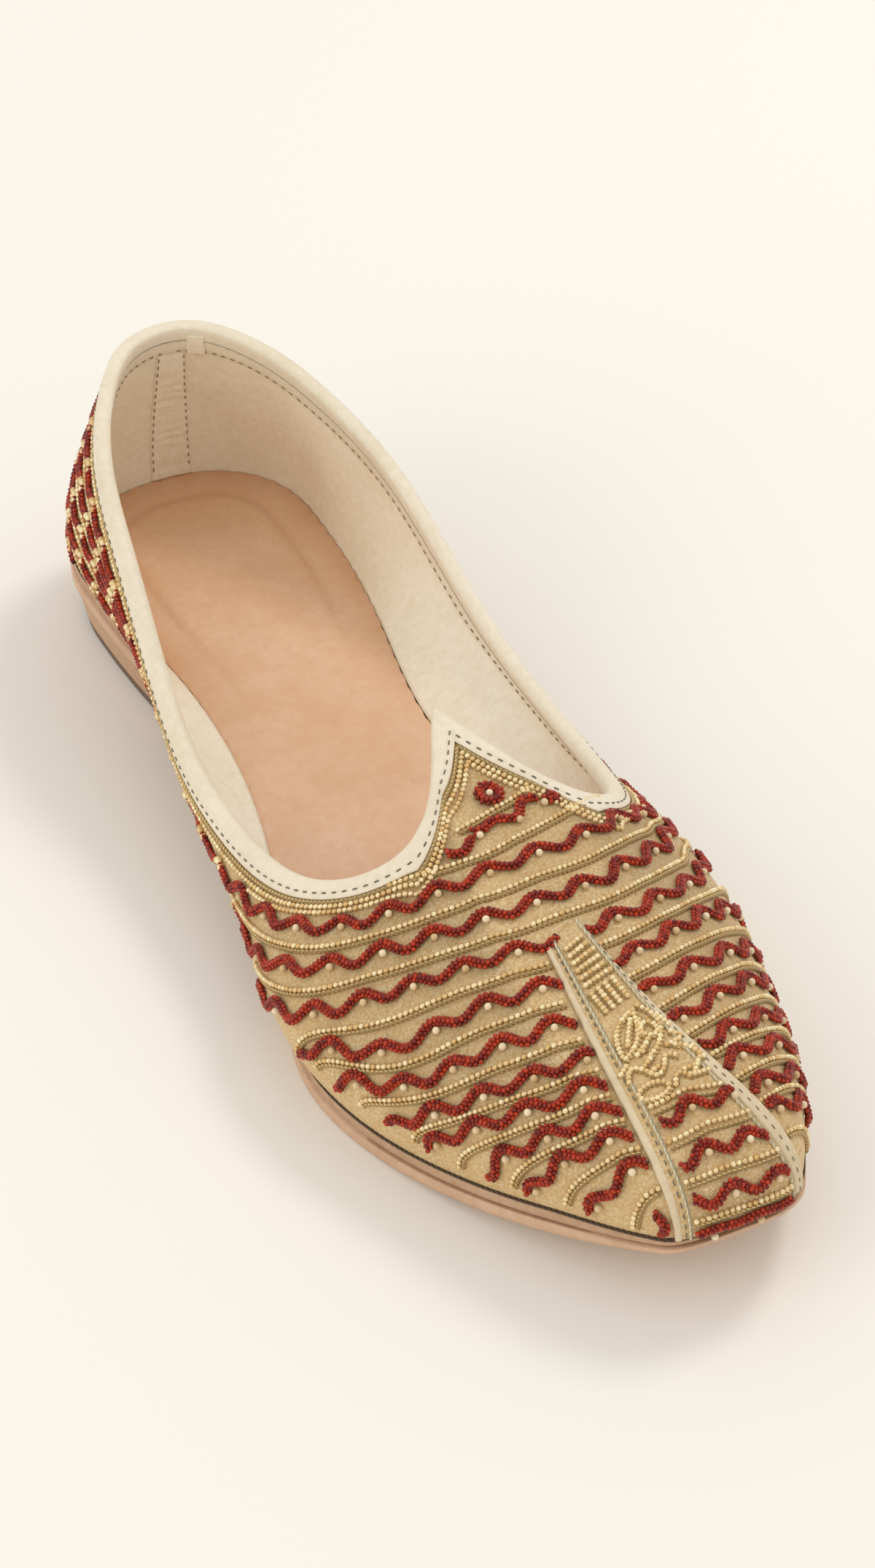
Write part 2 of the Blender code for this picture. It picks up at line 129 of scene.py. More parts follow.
LOBE_BACK = THROAT_POINT + 0.42 * THROAT_DEPTH
LOBE_TIP = THROAT_POINT + 0.95 * THROAT_DEPTH
LOBE_FRONT = THROAT_POINT + 0.85 * THROAT_DEPTH

# The rim: way from heel to throat, station, outer half width, inner half width, height
RIM = (
    (0.000, BACK_LEAN, 0.0, 0.0, BACK_HEIGHT),
    (0.055, 1.35 * BACK_LEAN, 0.145 * OPENING_WIDTH, 0.145 * OPENING_WIDTH, 0.985 * BACK_HEIGHT),
    (0.110, 2.5 * BACK_LEAN, 0.258 * OPENING_WIDTH, 0.258 * OPENING_WIDTH, 0.955 * BACK_HEIGHT),
    (0.200, 0.25 * THROAT_POINT, 0.370 * OPENING_WIDTH, 0.370 * OPENING_WIDTH, 0.875 * BACK_HEIGHT),
    (0.340, 0.44 * THROAT_POINT, 0.460 * OPENING_WIDTH, 0.445 * OPENING_WIDTH, 1.75 * SIDE_HEIGHT),
    (0.500, 0.65 * THROAT_POINT, 0.522 * OPENING_WIDTH, 0.485 * OPENING_WIDTH, 1.22 * SIDE_HEIGHT),
    (0.660, 0.87 * THROAT_POINT, 0.548 * OPENING_WIDTH, 0.500 * OPENING_WIDTH, 1.00 * SIDE_HEIGHT),
    (0.770, LOBE_BACK, 0.492 * OPENING_WIDTH, 0.462 * OPENING_WIDTH, 1.10 * SIDE_HEIGHT),
    (0.860, LOBE_TIP, 0.335 * OPENING_WIDTH, 0.330 * OPENING_WIDTH, 0.755 * THROAT_HEIGHT),
    (0.925, LOBE_FRONT, 0.190 * OPENING_WIDTH, 0.190 * OPENING_WIDTH, 0.875 * THROAT_HEIGHT),
    (1.000, THROAT_POINT, 0.0, 0.0, THROAT_HEIGHT),
)

# Strips of the skin: way round the sole, way round the rim, lean at the foot (outer, inner) and at the rim
# (outer, inner) in degrees, share of the reach that runs straight at the foot and at the rim
STRIPS = (
    (0.00, 0.000, 6.0, 6.0, 10.0, 10.0, 0.36, 0.34),
    (0.09, 0.095, 7.0, 7.0, 10.0, 10.0, 0.36, 0.34),
    (0.20, 0.230, 14.0, 16.0, 14.0, 12.0, 0.36, 0.34),
    (0.34, 0.440, 56.0, 56.0, 26.0, 16.0, 0.44, 0.34),
    (0.47, 0.640, 66.0, 44.0, 48.0, 32.0, 0.54, 0.38),
    (0.60, 0.770, 54.0, 18.0, 62.0, 50.0, 0.50, 0.42),
    (0.72, 0.845, 24.0, 5.0, 64.0, 62.0, 0.40, 0.44),
    (0.84, 0.905, 8.0, 6.0, 70.0, 70.0, 0.27, 0.46),
    (0.94, 0.960, 8.0, 8.0, 74.0, 74.0, 0.20, 0.50),
    (1.00, 1.000, 8.0, 8.0, 75.0, 75.0, 0.19, 0.50),
)

# Edges of the toe band: up the skin, and its outer and inner edge from the middle as a share of the way round
BAND = (
    (0.01, 0.0190, 0.0270),
    (0.15, 0.0190, 0.0240),
    (0.29, 0.0185, 0.0200),
    (0.42, 0.0178, 0.0142),
    (0.55, 0.0165, 0.0078),
    (0.68, 0.0145, 0.0028),
)

# Rows of waving cord over the vamp: the station at which each crosses these distances from the middle
ROW_X = (-51.0, -45.0, -30.0, -15.0, 0.0, 15.0, 30.0, 45.0)
VAMP_ROWS = (
    (171.0, 176.0, 187.0, 192.0, 192.5, 190.0, 182.0, 170.0),
    (181.0, 186.0, 196.5, 202.5, 204.0, 201.5, 193.5, 180.0),
    (193.0, 197.5, 206.5, 212.5, 214.5, 212.0, 205.0, 191.0),
    (198.0, 208.0, 217.5, 223.0, 224.5, 221.0, 214.0, 203.0),
    (203.0, 214.5, 227.0, 233.0, 234.5, 230.5, 224.5, 213.0),
    (207.0, 219.0, 235.0, 242.5, 244.0, 239.5, 232.5, 222.0),
    (210.0, 221.5, 240.5, 249.0, 251.0, 247.5, 241.0, 230.0),
    (211.0, 224.0, 246.0, 255.0, 257.0, 253.5, 247.5, 236.0),
    (216.0, 229.0, 250.5, 261.0, 264.5, 261.0, 253.0, 240.0),
    (226.0, 238.0, 257.5, 267.5, 270.5, 266.5, 258.0, 245.0),
)
LAST_GOLD_ROW = (233.0, 244.5, 263.0, 272.0, 274.5, 271.0, 262.5, 250.0)

# The first rows run on into the quarters: places beside the vamp, around and for each row up, and how deep
# below the rim they lie in the quarters
OUTER_SIDE = (0.285, 0.310, 0.335, 0.355)
INNER_SIDE = (0.640, 0.667, 0.700, 0.727)
SIDE_ROWS = (
    ((0.665, 0.725, 0.780, 0.820), (0.880, 0.805, 0.725, 0.665)),
    ((0.385, 0.495, 0.600, 0.672), (0.760, 0.655, 0.500, 0.385)),
    ((0.170, 0.280, 0.395, 0.500), (0.580, 0.430, 0.275, 0.165)),
)
QUARTER_DEPTHS = (10.2, 18.0, 25.5)
QUARTER_END = 0.235
QUARTER_PLACES = (0.0, 0.04, 0.08, 0.12, 0.16, 0.20, QUARTER_END)
PLAN_START = 0.375
PLAN_END = 0.620

# Depths below the rim of the rows that only the heel has room for
HEEL_ROWS = (33.0, 40.5, 48.0)
QUARTER_PITCH = 7.5

# How far up the skin the rows end above the sole, beside the ball of the foot and towards the toe
FOOT_MARGIN = (
    (0.300, 0.035),
    (0.322, 0.120),
    (0.345, 0.235),
    (0.361, 0.145),
    (0.379, 0.100),
    (0.396, 0.065),
    (0.420, 0.035),
)
VAMP_HALF = 0.235
CLUSTER = ((-1.2, 0.0), (0.3, 0.9), (1.3, -0.2))
SEAM_HALF = 0.0032

# Waving cord: how far it swings to either side and over what length, the share of its swing from which the
# quarters' cords break for a cluster of beads, and where a crest lies beside the middle
SWING = 1.6
WAVE = 11.5
QUARTER_SWING = 1.1
CREST_BREAK = 0.8
CREST_X = (2.4, -4.0, -2.0, -2.0, -4.6, -2.6, 6.0, 4.0, 5.0, 6.0)

# Beads and cords. The waving cord is a rope of short rows of beads that lean across it; a bead's place in its
# row is told across the rope and out of the skin
ROPE_ROW = ((-0.80, 0.0), (0.0, 0.42), (0.80, 0.0))
ROPE_BEAD = 1.12
ROPE_STEP = 1.0
ROPE_LEAN = 36.0
ROPE_LIFT = 0.75
ROPE_CORE = 0.62
GOLD_BEAD = 1.28
GOLD_STEP = 1.26
MOTIF_BEAD = 1.3
MOTIF_STEP = 1.05
CLUSTER_BEAD = 1.8
PEARL = 1.6
GOLD_CORD = 0.9
THIN_CORD = 0.42

# How far beside a row of gold beads its dark cord lies, and how far both cord and beads stand off the skin
CORD_BESIDE = 1.05
CORD_LIFT = 0.3
BEAD_LIFT = 0.45
ROW_BEAD_LIFT = 0.48

# How far below the crest of its cord a pearl lies, and how far it stands off the skin
PEARL_DROP = 2.3
PEARL_LIFT = 0.75
BAND_PEARL_DROP = 2.2
BAND_PEARL_LIFT = 0.7

# How finely lines are laid on the skin: samples, and the millimetres from one point to the next
ROW_SAMPLES = 900
ROUND_SAMPLES = 1600
ROPE_SPACING = 0.4
ROW_SPACING = 0.35
FIGURE_SPACING = 0.3
STITCH_SPACING = 0.2

# Toe band: how far its face stands off the skin, how far up the skin it reaches, and the cuts along it
BAND_LIFT = GAP + 0.45
BAND_LOW = BAND[0][0]
BAND_HIGH = BAND[-1][0]
BAND_CUTS = 150
BAND_SAMPLES = 200

# Camera: where it stands and looks, in metres, and its lens
CAMERA_PLACE = Vector((-0.2820, -0.5793, 0.5661))
CAMERA_TARGET = Vector((0.0086, -0.0016, 0.0250))
CAMERA_LENS = 89.7
SENSOR = 36.0

# Lamps: name, where each stands and aims, size in metres, watts and tint
LAMPS = (
    ("key", (0.75, 0.25, 1.15), (0, 0, 0), 0.4, 4.2, (1.0, 0.97, 0.93)),
    ("fill", (-0.95, -0.1, 0.55), (0, 0.05, 0), 0.8, 2.4, (1.0, 0.98, 0.95)),
)
WORLD_COLOUR = "FFFEFC"
WORLD_STRENGTH = 0.80
FLOOR_HALF = 3.0

chance = np.random.default_rng(7)


# The upper's skin


def spline(knots, values, level_start=False, level_end=False):
    """Smooth curve through the values; an end is level where the two halves of the shoe meet."""
    k = np.asarray(knots, float)
    y = np.asarray(values, float)
    step = np.diff(k)
    rise = np.diff(y) / step
    count = len(k)
    system = np.zeros((count, count))
    known = np.zeros(count)
    for i in range(1, count - 1):
        system[i, i - 1:i + 2] = step[i], 2 * (step[i - 1] + step[i]), step[i - 1]
        known[i] = 3 * (step[i] * rise[i - 1] + step[i - 1] * rise[i])
    for level, end, inner, slope in ((level_start, 0, 1, rise[0]), (level_end, -1, -2, rise[-1])):
        system[end, end] = 1 if level else 2
        system[end, inner] = 0 if level else 1
        known[end] = 0 if level else 3 * slope
    tangent = np.linalg.solve(system, known)

    def at(place):
        i = np.clip(np.searchsorted(k, place, side="right") - 1, 0, count - 2)
        t = (place - k[i]) / step[i]
        near = y[i] * (1 + 2 * t) * (1 - t) ** 2 + tangent[i] * step[i] * t * (1 - t) ** 2
        far = y[i + 1] * t ** 2 * (3 - 2 * t) + tangent[i + 1] * step[i] * t ** 2 * (t - 1)
        return near + far

    return at


def column(table, index):
    """One column of a table."""
    return [row[index] for row in table]


def ease(share):
    """0 to 1 with level ends."""
    share = np.clip(share, 0, 1)
    return share * share * (3 - 2 * share)


def ground(station):
    """Height of the outsole's underside: seat of the heel, waist, flat tread, toe spring."""
    waist = HEEL_HEIGHT * (1 - ease((station - HEEL_LENGTH) / (TREAD_START - HEEL_LENGTH)))
    rise = np.clip((station - TREAD_END) / (LENGTH - TREAD_END), 0, None)
    return waist + TOE_SPRING * rise ** 2


def thinning(station):
    """The sole's layers are pared down towards the toe."""
    return 1 - (1 - TOE_THINNESS) * ease((station - LENGTH + TOE_PARING) / TOE_PARING)


def stack(outsole, midsole, gaps, above=0.0):
    """Height of a face that lies on so much of the outsole, the midsole and the gaps between the pieces."""
    layers = outsole * OUTSOLE_THICKNESS + midsole * MIDSOLE_THICKNESS
    return lambda station: ground(station) + layers * thinning(station) + gaps * GAP + above


FOOT_OF_UPPER = stack(1, 1, 2)


def end_rounding(side, station, inset):
    """Share of the full width that is left near the round heel and the square toe."""
    toe_round = OUTER_TOE_ROUND if side == LATERAL else INNER_TOE_ROUND
    back = np.clip((inset + HEEL_ROUND - station) / HEEL_ROUND, 0, 1)
    front = np.clip((station - (LENGTH - inset - toe_round)) / toe_round, 0, 1)
    heel = (1 - back ** HEEL_SQUARENESS) ** (1 / HEEL_SQUARENESS)
    toe = (1 - front ** TOE_SQUARENESS) ** (1 / TOE_SQUARENESS)
    return heel * toe


@lru_cache(maxsize=None)
def side_width(side):
    """Distance of the sole's edge from the middle line before its ends are rounded."""
    share = 2 if side == LATERAL else 3
    widths = [row[1] * row[share] for row in OUTLINE]
    return spline(column(OUTLINE, 0), widths)


def half_width(side, station, inset):
    """Distance of the sole's edge from the middle line, on one side."""
    return (side_width(side)(station / LENGTH) - inset) * end_rounding(side, station, inset)


@lru_cache(maxsize=None)
def half_outline(side, inset):
    """Way round, x, station and the direction out of the sole's edge, from heel to toe on one side."""
    turn = np.linspace(0, math.pi, OUTLINE_SAMPLES + 1)
    station = inset + (LENGTH - 2 * inset) * (1 - np.cos(turn)) / 2
    x = side * half_width(side, station, inset)
    run = np.concatenate([[0], np.cumsum(np.hypot(np.diff(x), np.diff(station)))])
    even = np.linspace(0, run[-1], OUTLINE_SAMPLES + 1)
    x = np.interp(even, run, x)
    station = np.interp(even, run, station)
    way_x = np.gradient(x)
    way_s = np.gradient(station)
    size = np.hypot(way_x, way_s)
    return even / run[-1], x, station, side * way_s / size, -side * way_x / size


def lateral_half(around):
    """Half of the shoe and way from heel to toe, for a share of the way all round it."""
    around = np.mod(around, 1.0)
    outer = around <= 0.5
    return outer, np.where(outer, 2 * around, 2 - 2 * around)


def both_halves(around, read):
    """Reads a function of (side, way) on whichever side each place is."""
    outer, way = lateral_half(around)
    pair = zip(read(LATERAL, way), read(MEDIAL, way))
    return [np.where(outer, a, b) for a, b in pair]


def foot_line(around):
    """Where the skin meets the sole: x, station, and the direction out of the edge there."""
    def read(side, way):
        share, x, station, out_x, out_s = half_outline(side, UPPER_SET_IN)
        return [np.interp(way, share, row) for row in (x, station, out_x, out_s)]

    return both_halves(around, read)


def strip_value(index, level=True):
    """Value along the strips, from the heel to the toe."""
    return spline(column(STRIPS, 0), column(STRIPS, index), level, level)


RIM_WAY = strip_value(1, level=False)
FOOT_LEAN = {LATERAL: strip_value(2), MEDIAL: strip_value(3)}
RIM_LEAN = {LATERAL: strip_value(4), MEDIAL: strip_value(5)}
FOOT_RUN = strip_value(6)
RIM_RUN = strip_value(7)
RIM_STATION = spline(column(RIM, 0), column(RIM, 1), True, False)
RIM_WIDTH = {LATERAL: spline(column(RIM, 0), column(RIM, 2)), MEDIAL: spline(column(RIM, 0), column(RIM, 3))}
RIM_HEIGHT = spline(column(RIM, 0), column(RIM, 4), True, False)


def rim_line(around):
    """The upper's top edge: x, station, height."""
    def read(side, way):
        rim_way = np.clip(RIM_WAY(way), 0, 1)
        return side * RIM_WIDTH[side](rim_way), RIM_STATION(rim_way), RIM_HEIGHT(rim_way)

    return both_halves(around, read)


def leans(around):
    """How far the strips lean at the foot and at the rim, in radians."""
    def read(side, way):
        return np.radians(FOOT_LEAN[side](way)), np.radians(RIM_LEAN[side](way))

    return both_halves(around, read)


def skin(around, up):
    """Outer face of the upper as x, station, z."""
    around, up = np.broadcast_arrays(np.asarray(around, float), np.asarray(up, float))
    way = lateral_half(around)[1]
    foot_x, foot_s, out_x, out_s = foot_line(around)
    rim_x, rim_s, rim_z = rim_line(around)
    foot = np.stack([foot_x, foot_s, FOOT_OF_UPPER(foot_s)], -1)
    rim = np.stack([rim_x, rim_s, rim_z], -1)
    reach = np.linalg.norm(rim - foot, axis=-1)[..., None]
    foot_lean, rim_lean = leans(around)
    rise = np.stack([out_x * np.sin(foot_lean), out_s * np.sin(foot_lean), np.cos(foot_lean)], -1)
    away_x = foot_x - rim_x + OPENING_WIDTH / 2 * out_x
    away_s = foot_s - rim_s + OPENING_WIDTH / 2 * out_s
    away = np.hypot(away_x, away_s)
    fall_x = away_x / away * np.sin(rim_lean)
    fall_s = away_s / away * np.sin(rim_lean)
    fall = np.stack([fall_x, fall_s, -np.cos(rim_lean)], -1)
    low = foot + rise * reach * FOOT_RUN(way)[..., None]
    high = rim + fall * reach * RIM_RUN(way)[..., None]
    t = up[..., None]
    return foot * (1 - t) ** 3 + 3 * low * t * (1 - t) ** 2 + 3 * high * t ** 2 * (1 - t) + rim * t ** 3


def unit(vectors):
    """Vectors of length 1."""
    return vectors / np.linalg.norm(vectors, axis=-1)[..., None]


def run_along(points):
    """Way along a line of points, from its start."""
    return np.concatenate([[0], np.cumsum(np.linalg.norm(np.diff(points, axis=0), axis=-1))])


def skin_normal(around, up):
    """Direction out of the skin."""
    step = 0.003
    high = np.clip(up + step, 0, 1)
    low = np.clip(up - step, 0, 1)
    along = skin(around + step, up) - skin(around - step, up)
    rise = skin(around, high) - skin(around, low)
    return unit(np.cross(rise, along))


def layer(around, up, offset):
    """Points so far outside the skin, or inside it where the offset is below zero."""
    around, up = np.broadcast_arrays(np.asarray(around, float), np.asarray(up, float))
    return skin(around, up) + np.asarray(offset)[..., None] * skin_normal(around, up)


def rim_miter(around):
    """How much longer a strip's way to a line beside the rim is than the straight way."""
    step = 0.002
    fall = 0.02
    longest = 2.0
    outer = lateral_half(around)[0]
    ahead = np.where(outer, around - step, around + step)
    along = unit(skin(ahead, 1.0) - skin(around, 1.0))
    down = unit(skin(around, 1.0 - fall) - skin(around, 1.0))
    across = np.linalg.norm(np.cross(along, down), axis=-1)
    return 1 / np.clip(across, 1 / longest, 1)


def strip_runs(around, ups):
    """How far down from the rim each height of the strips lies, in mm."""
    strips = skin(around[:, None], ups[None, :])
    steps = np.linalg.norm(np.diff(strips, axis=1), axis=-1)
    run = np.concatenate([np.zeros((len(around), 1)), np.cumsum(steps, axis=1)], axis=1)
    return strips, run


def up_at_depth(around, depth):
    """Share up the skin of a line so deep below the rim; below zero where the skin ends before it."""
    ups = np.linspace(1.0, -0.2, 2 * RIM_SAMPLES + 1)
    run = strip_runs(around, ups)[1]
    reach = depth * rim_miter(around)
    return np.array([np.interp(r, way, ups) for r, way in zip(reach, run)])


def below_rim(around, depth, offset):
    """Points so far down the skin from the rim, or beyond the rim where depth is below zero."""
    reach = depth * rim_miter(around)
    ups = np.linspace(1.0, 1.0 - RIM_SEARCH, RIM_SAMPLES + 1)
    strips, run = strip_runs(around, ups)
    up = np.array([np.interp(r, way, ups) for r, way in zip(np.maximum(reach, 0), run)])
    points = layer(around, up, np.broadcast_to(offset, around.shape))
    rise = unit(strips[:, 0] - strips[:, 1])
    return points + rise * np.maximum(-reach, 0)[..., None]


# Meshes


def frame_shift():
    """From the shoe's own sizes to the frame, read from where the outsole lies."""
    low = np.array(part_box("outsole")[0])
    outer_x = half_outline(LATERAL, 0.0)[1].min()
    return low - np.array([outer_x * MM, -LENGTH / 2 * MM, 0.0])


SHIFT = frame_shift()


def in_frame(points):
    """From x, station, z in millimetres to the frame in metres, toe towards -Y."""
    points = np.asarray(points, float)
    turned = np.stack([points[..., 0], LENGTH / 2 - points[..., 1], points[..., 2]], -1)
    return turned * MM + SHIFT


def piece(name, mesh, looks, node_name=None):
    """Object from a mesh, with its materials and the CAD node that it stands for."""
    for look in looks:
        mesh.materials.append(look)
    made = bpy.data.objects.new(name, mesh)
    bpy.context.scene.collection.objects.link(made)
    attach(made, "root")
    if node_name:
        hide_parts(node_name)
    return made


def array_mesh(name, points, faces, marks=None, face_looks=None):
    """Mesh from points in millimetres and faces that all have the same number of corners."""
    points = in_frame(points).reshape(-1, 3)
    faces = np.asarray(faces, np.int32)
    mesh = bpy.data.meshes.new(name)
    mesh.vertices.add(len(points))
    mesh.vertices.foreach_set("co", points.ravel())
    mesh.loops.add(faces.size)
    mesh.loops.foreach_set("vertex_index", faces.ravel())
    mesh.polygons.add(len(faces))
    mesh.polygons.foreach_set("loop_start", np.arange(len(faces), dtype=np.int32) * faces.shape[1])
    mesh.polygons.foreach_set("use_smooth", np.ones(len(faces), bool))
    if face_looks is not None:
        mesh.polygons.foreach_set("material_index", np.asarray(face_looks, np.int32))
    mesh.update(calc_edges=True)
    for mark, values in (marks or {}).items():
        values = np.asarray(values, float)
        kind = "FLOAT" if values.ndim == 1 else "FLOAT_VECTOR"
        field = "value" if values.ndim == 1 else "vector"
        mesh.attributes.new(mark, kind, "POINT").data.foreach_set(field, values.ravel())
    return mesh


def lattice(rows, columns, closed=False):
    """Corners of the faces between neighbouring points of a grid: a tube, or a ring where it is closed."""
    last_row = rows if closed else rows - 1
    i, j = np.meshgrid(np.arange(last_row), np.arange(columns), indexing="ij")
    i, j = i.ravel(), j.ravel()
    below = (i + 1) % rows
    beside = (j + 1) % columns
    corners = [i * columns + j, i * columns + beside, below * columns + beside, below * columns + j]
    return np.stack(corners, -1)


def facing_out(mesh):
    """Turns the faces of a closed mesh outwards."""
    form = bmesh.new()
    form.from_mesh(mesh)
    bmesh.ops.recalc_face_normals(form, faces=form.faces)
    form.to_mesh(mesh)
    form.free()
    return mesh


def welded(mesh):
    """Closed mesh without doubled points, its faces out."""
    form = bmesh.new()
    form.from_mesh(mesh)
    bmesh.ops.remove_doubles(form, verts=form.verts, dist=1e-5)
    bmesh.ops.dissolve_degenerate(form, edges=form.edges, dist=1e-6)
    bmesh.ops.recalc_face_normals(form, faces=form.faces)
    form.to_mesh(mesh)
    form.free()
    mesh.set_sharp_from_angle(angle=SHARP)
    return mesh


def ball(rings, segments):
    """Corners and triangles of a small round bead of radius 1."""
    tilt = np.linspace(0, math.pi, rings + 1)[1:-1]
    turn = np.arange(segments) * 2 * math.pi / segments
    ring = [(math.sin(a) * np.cos(turn), math.sin(a) * np.sin(turn), math.cos(a) + 0 * turn) for a in tilt]
    body = np.concatenate([np.stack(r, -1) for r in ring])
    points = np.concatenate([[[0, 0, 1.0]], body, [[0, 0, -1.0]]])
    last = len(points) - 1
    faces = []
    for j in range(segments):
        k = (j + 1) % segments
        faces.append((0, 1 + j, 1 + k))
        base = 1 + (len(tilt) - 1) * segments
        faces.append((last, base + k, base + j))
        for i in range(len(tilt) - 1):
            a = 1 + i * segments
            b = a + segments
            faces.append((a + j, b + j, b + k))
            faces.append((a + j, b + k, a + k))
    return points, np.array(faces)


def random_turns(count):
    """Rotations in all directions, one for each bead."""
    quaternion = chance.normal(size=(count, 4))
    w, x, y, z = unit(quaternion).T
    return np.stack([
        np.stack([1 - 2 * (y * y + z * z), 2 * (x * y - z * w), 2 * (x * z + y * w)], -1),
        np.stack([2 * (x * y + z * w), 1 - 2 * (x * x + z * z), 2 * (y * z - x * w)], -1),
        np.stack([2 * (x * z - y * w), 2 * (y * z + x * w), 1 - 2 * (x * x + y * y)], -1),
    ], -2)


def beads(name, centres, size, look, rings=4, segments=6, uneven=0.06):
    """Many small beads as one mesh, each turned its own way and with its own tone."""
    centres = np.concatenate(centres) if isinstance(centres, list) else centres
    shape, faces = ball(rings, segments)
    count = len(centres)
    scale = size / 2 * (1 + uneven * chance.uniform(-1, 1, count))
    turned = np.einsum("nij,pj->npi", random_turns(count), shape)
    points = centres[:, None, :] + turned * scale[:, None, None]
    numbers = faces[None, :, :] + (np.arange(count) * len(shape))[:, None, None]
    tone = np.repeat(chance.uniform(0, 1, count), len(shape))
    mesh = array_mesh(name, points, numbers.reshape(-1, 3)[:, ::-1], {"tone": tone})
    return piece(name, mesh, [look])


def pearls(name, places):
    beads(name, places, PEARL, PEARL_GLOSS, rings=6, segments=10, uneven=0.04)


def tube_points(centre, out, radius, sides, flat=1.0):
    """Rings of points round a line; the ring's first axis points out of the skin."""
    along = unit(np.gradient(centre, axis=0))
    high = unit(out - (out * along).sum(-1)[:, None] * along)
    wide = np.cross(along, high)
    turn = np.arange(sides) * 2 * math.pi / sides
    radius = np.broadcast_to(radius, (len(centre),))
    ring_high = np.cos(turn)[None, :, None] * high[:, None, :] * flat
    ring_wide = np.sin(turn)[None, :, None] * wide[:, None, :]
    return centre[:, None, :] + radius[:, None, None] * (ring_high + ring_wide)


def end_faces(start, sides, turned):
    """Faces that close the end of a tube with an even number of sides."""
    last = start + sides - 1
    faces = [(start + i, start + i + 1, last - 1 - i, last - i) for i in range(sides // 2 - 1)]
    return [face[::-1] for face in faces] if turned else faces


def cords(name, lines, radius, look, sides=6, flat=1.0):
    """Tubes along lines, as one mesh; a line is its centre points and their directions out of the skin."""
    points = []
    faces = []
    ways = []
    start = 0
    for centre, out in lines:
        last_ring = start + (len(centre) - 1) * sides
        ends = end_faces(start, sides, False) + end_faces(last_ring, sides, True)
        faces.append(lattice(len(centre), sides) + start)
        faces.append(np.array(ends))
        turn = np.arange(sides) / sides
        way = np.stack(np.broadcast_arrays(run_along(centre)[:, None], turn[None, :], 0.0), -1)
        ways.append(way.reshape(-1, 3))
        points.append(tube_points(centre, out, radius, sides, flat).reshape(-1, 3))
        start += len(centre) * sides
    mesh = array_mesh(name, np.concatenate(points), np.concatenate(faces), {"thread": np.concatenate(ways)})
    return piece(name, facing_out(mesh), [look])


# Lines on the upper


Line = namedtuple("Line", "way place out along rise around up")


def lay(around, up, spacing):
    """Line on the skin with a point every so many millimetres."""
    around = np.asarray(around, float)
    up = np.broadcast_to(np.asarray(up, float), around.shape)
    way = run_along(skin(around, up))
    count = max(int(round(way[-1] / spacing)), 2)
    even = np.linspace(0, way[-1], count + 1)
    around = np.interp(even, way, around)
    up = np.interp(even, way, up)
    place = skin(around, up)
    out = skin_normal(around, up)
    along = unit(np.gradient(place, axis=0))
    step = 0.004
    rise = skin(around, up + step) - skin(around, up - step)
    rise = unit(rise - (rise * along).sum(-1)[:, None] * along)
    return Line(even, place, out, along, rise, around, up)


def raised(line, lift):
    """The line, so far off the skin."""
    return line._replace(place=line.place + line.out * lift)


def cord_along(line):
    """Centre points of a cord along a line and their directions out of the skin."""
    return line.place, line.out


def cord_beside(line):
    """The dark cord beside a row of gold beads."""
    return line.place - line.rise * CORD_BESIDE + line.out * CORD_LIFT, line.out


def all_round(depth, spacing):
    """Line right round the upper at one depth below the rim."""
    return lay(*depth_row(depth, 0.0, 1.0), spacing)


def pick(line, keep):
    """The part of a line that is kept, in pieces without gaps."""
    marks = np.flatnonzero(np.diff(np.concatenate([[0], keep.astype(int), [0]])))
    shortest = 4
    parts = zip(marks[::2], marks[1::2])
    return [Line(*[field[a:b] for field in line]) for a, b in parts if b - a >= shortest]


def on_cloth(line):
    """Places that lie above the sole's edge, beside the toe band and beside the seam at the heel."""
    outer, inner = band_edges(line.up)
    spare = 0.0008
    left = MIDDLE - outer - spare
    right = MIDDLE + inner + spare
    band = (line.around > left) & (line.around < right) & (line.up < BAND_HIGH)
    from_heel = MIDDLE - np.abs(np.mod(line.around, 1.0) - MIDDLE)
    margin = np.interp(from_heel, column(FOOT_MARGIN, 0), column(FOOT_MARGIN, 1))
    return (line.up > margin) & ~band & (from_heel >= SEAM_HALF)


def band_edges(up):
    """Shares of the way round from the middle to the toe band's outer and inner edge."""
    up = np.clip(up, BAND_LOW, BAND_HIGH)
    return spline(column(BAND, 0), column(BAND, 1))(up), spline(column(BAND, 0), column(BAND, 2))(up)


def wave_turns(line, crest_way, length=WAVE):
    """Turns of a wave along a line: whole at its crests, with the small drift of work done by hand."""
    way = line.way - crest_way
    drift = 0.09 * (np.sin(way / 17.0 + crest_way) - math.sin(crest_way))
    return way / length + drift


def crests(turns):
    """Places in a line at which its wave has a crest."""
    return np.flatnonzero(np.diff(np.floor(turns)) > 0) + 1


def waved(line, swing, turns):
    """Middle of a cord that waves up and down the skin."""
    height = swing * np.cos(2 * math.pi * turns) * (0.88 + 0.12 * np.sin(line.way / 9.0 + 2.0))
    return line.place + line.rise * height[:, None]


def resample(centre, out, spacing):
    """Points at even steps along a line of points, and their directions out of the skin."""
    way = run_along(centre)
    even = np.arange(0.0, way[-1], spacing)
    centre = np.stack([np.interp(even, way, axis) for axis in centre.T], -1)
    out = unit(np.stack([np.interp(even, way, axis) for axis in out.T], -1))
    return centre, out


def rope(centre, out):
    """Places of the beads of a rope."""
    middle, high = resample(centre, out, ROPE_STEP)
    along = unit(np.gradient(middle, axis=0))
    high = unit(high - (high * along).sum(-1)[:, None] * along)
    lean = math.radians(ROPE_LEAN)
    across = math.cos(lean) * np.cross(along, high) - math.sin(lean) * along
    return np.concatenate([middle + across * wide + high * rise for wide, rise in ROPE_ROW])


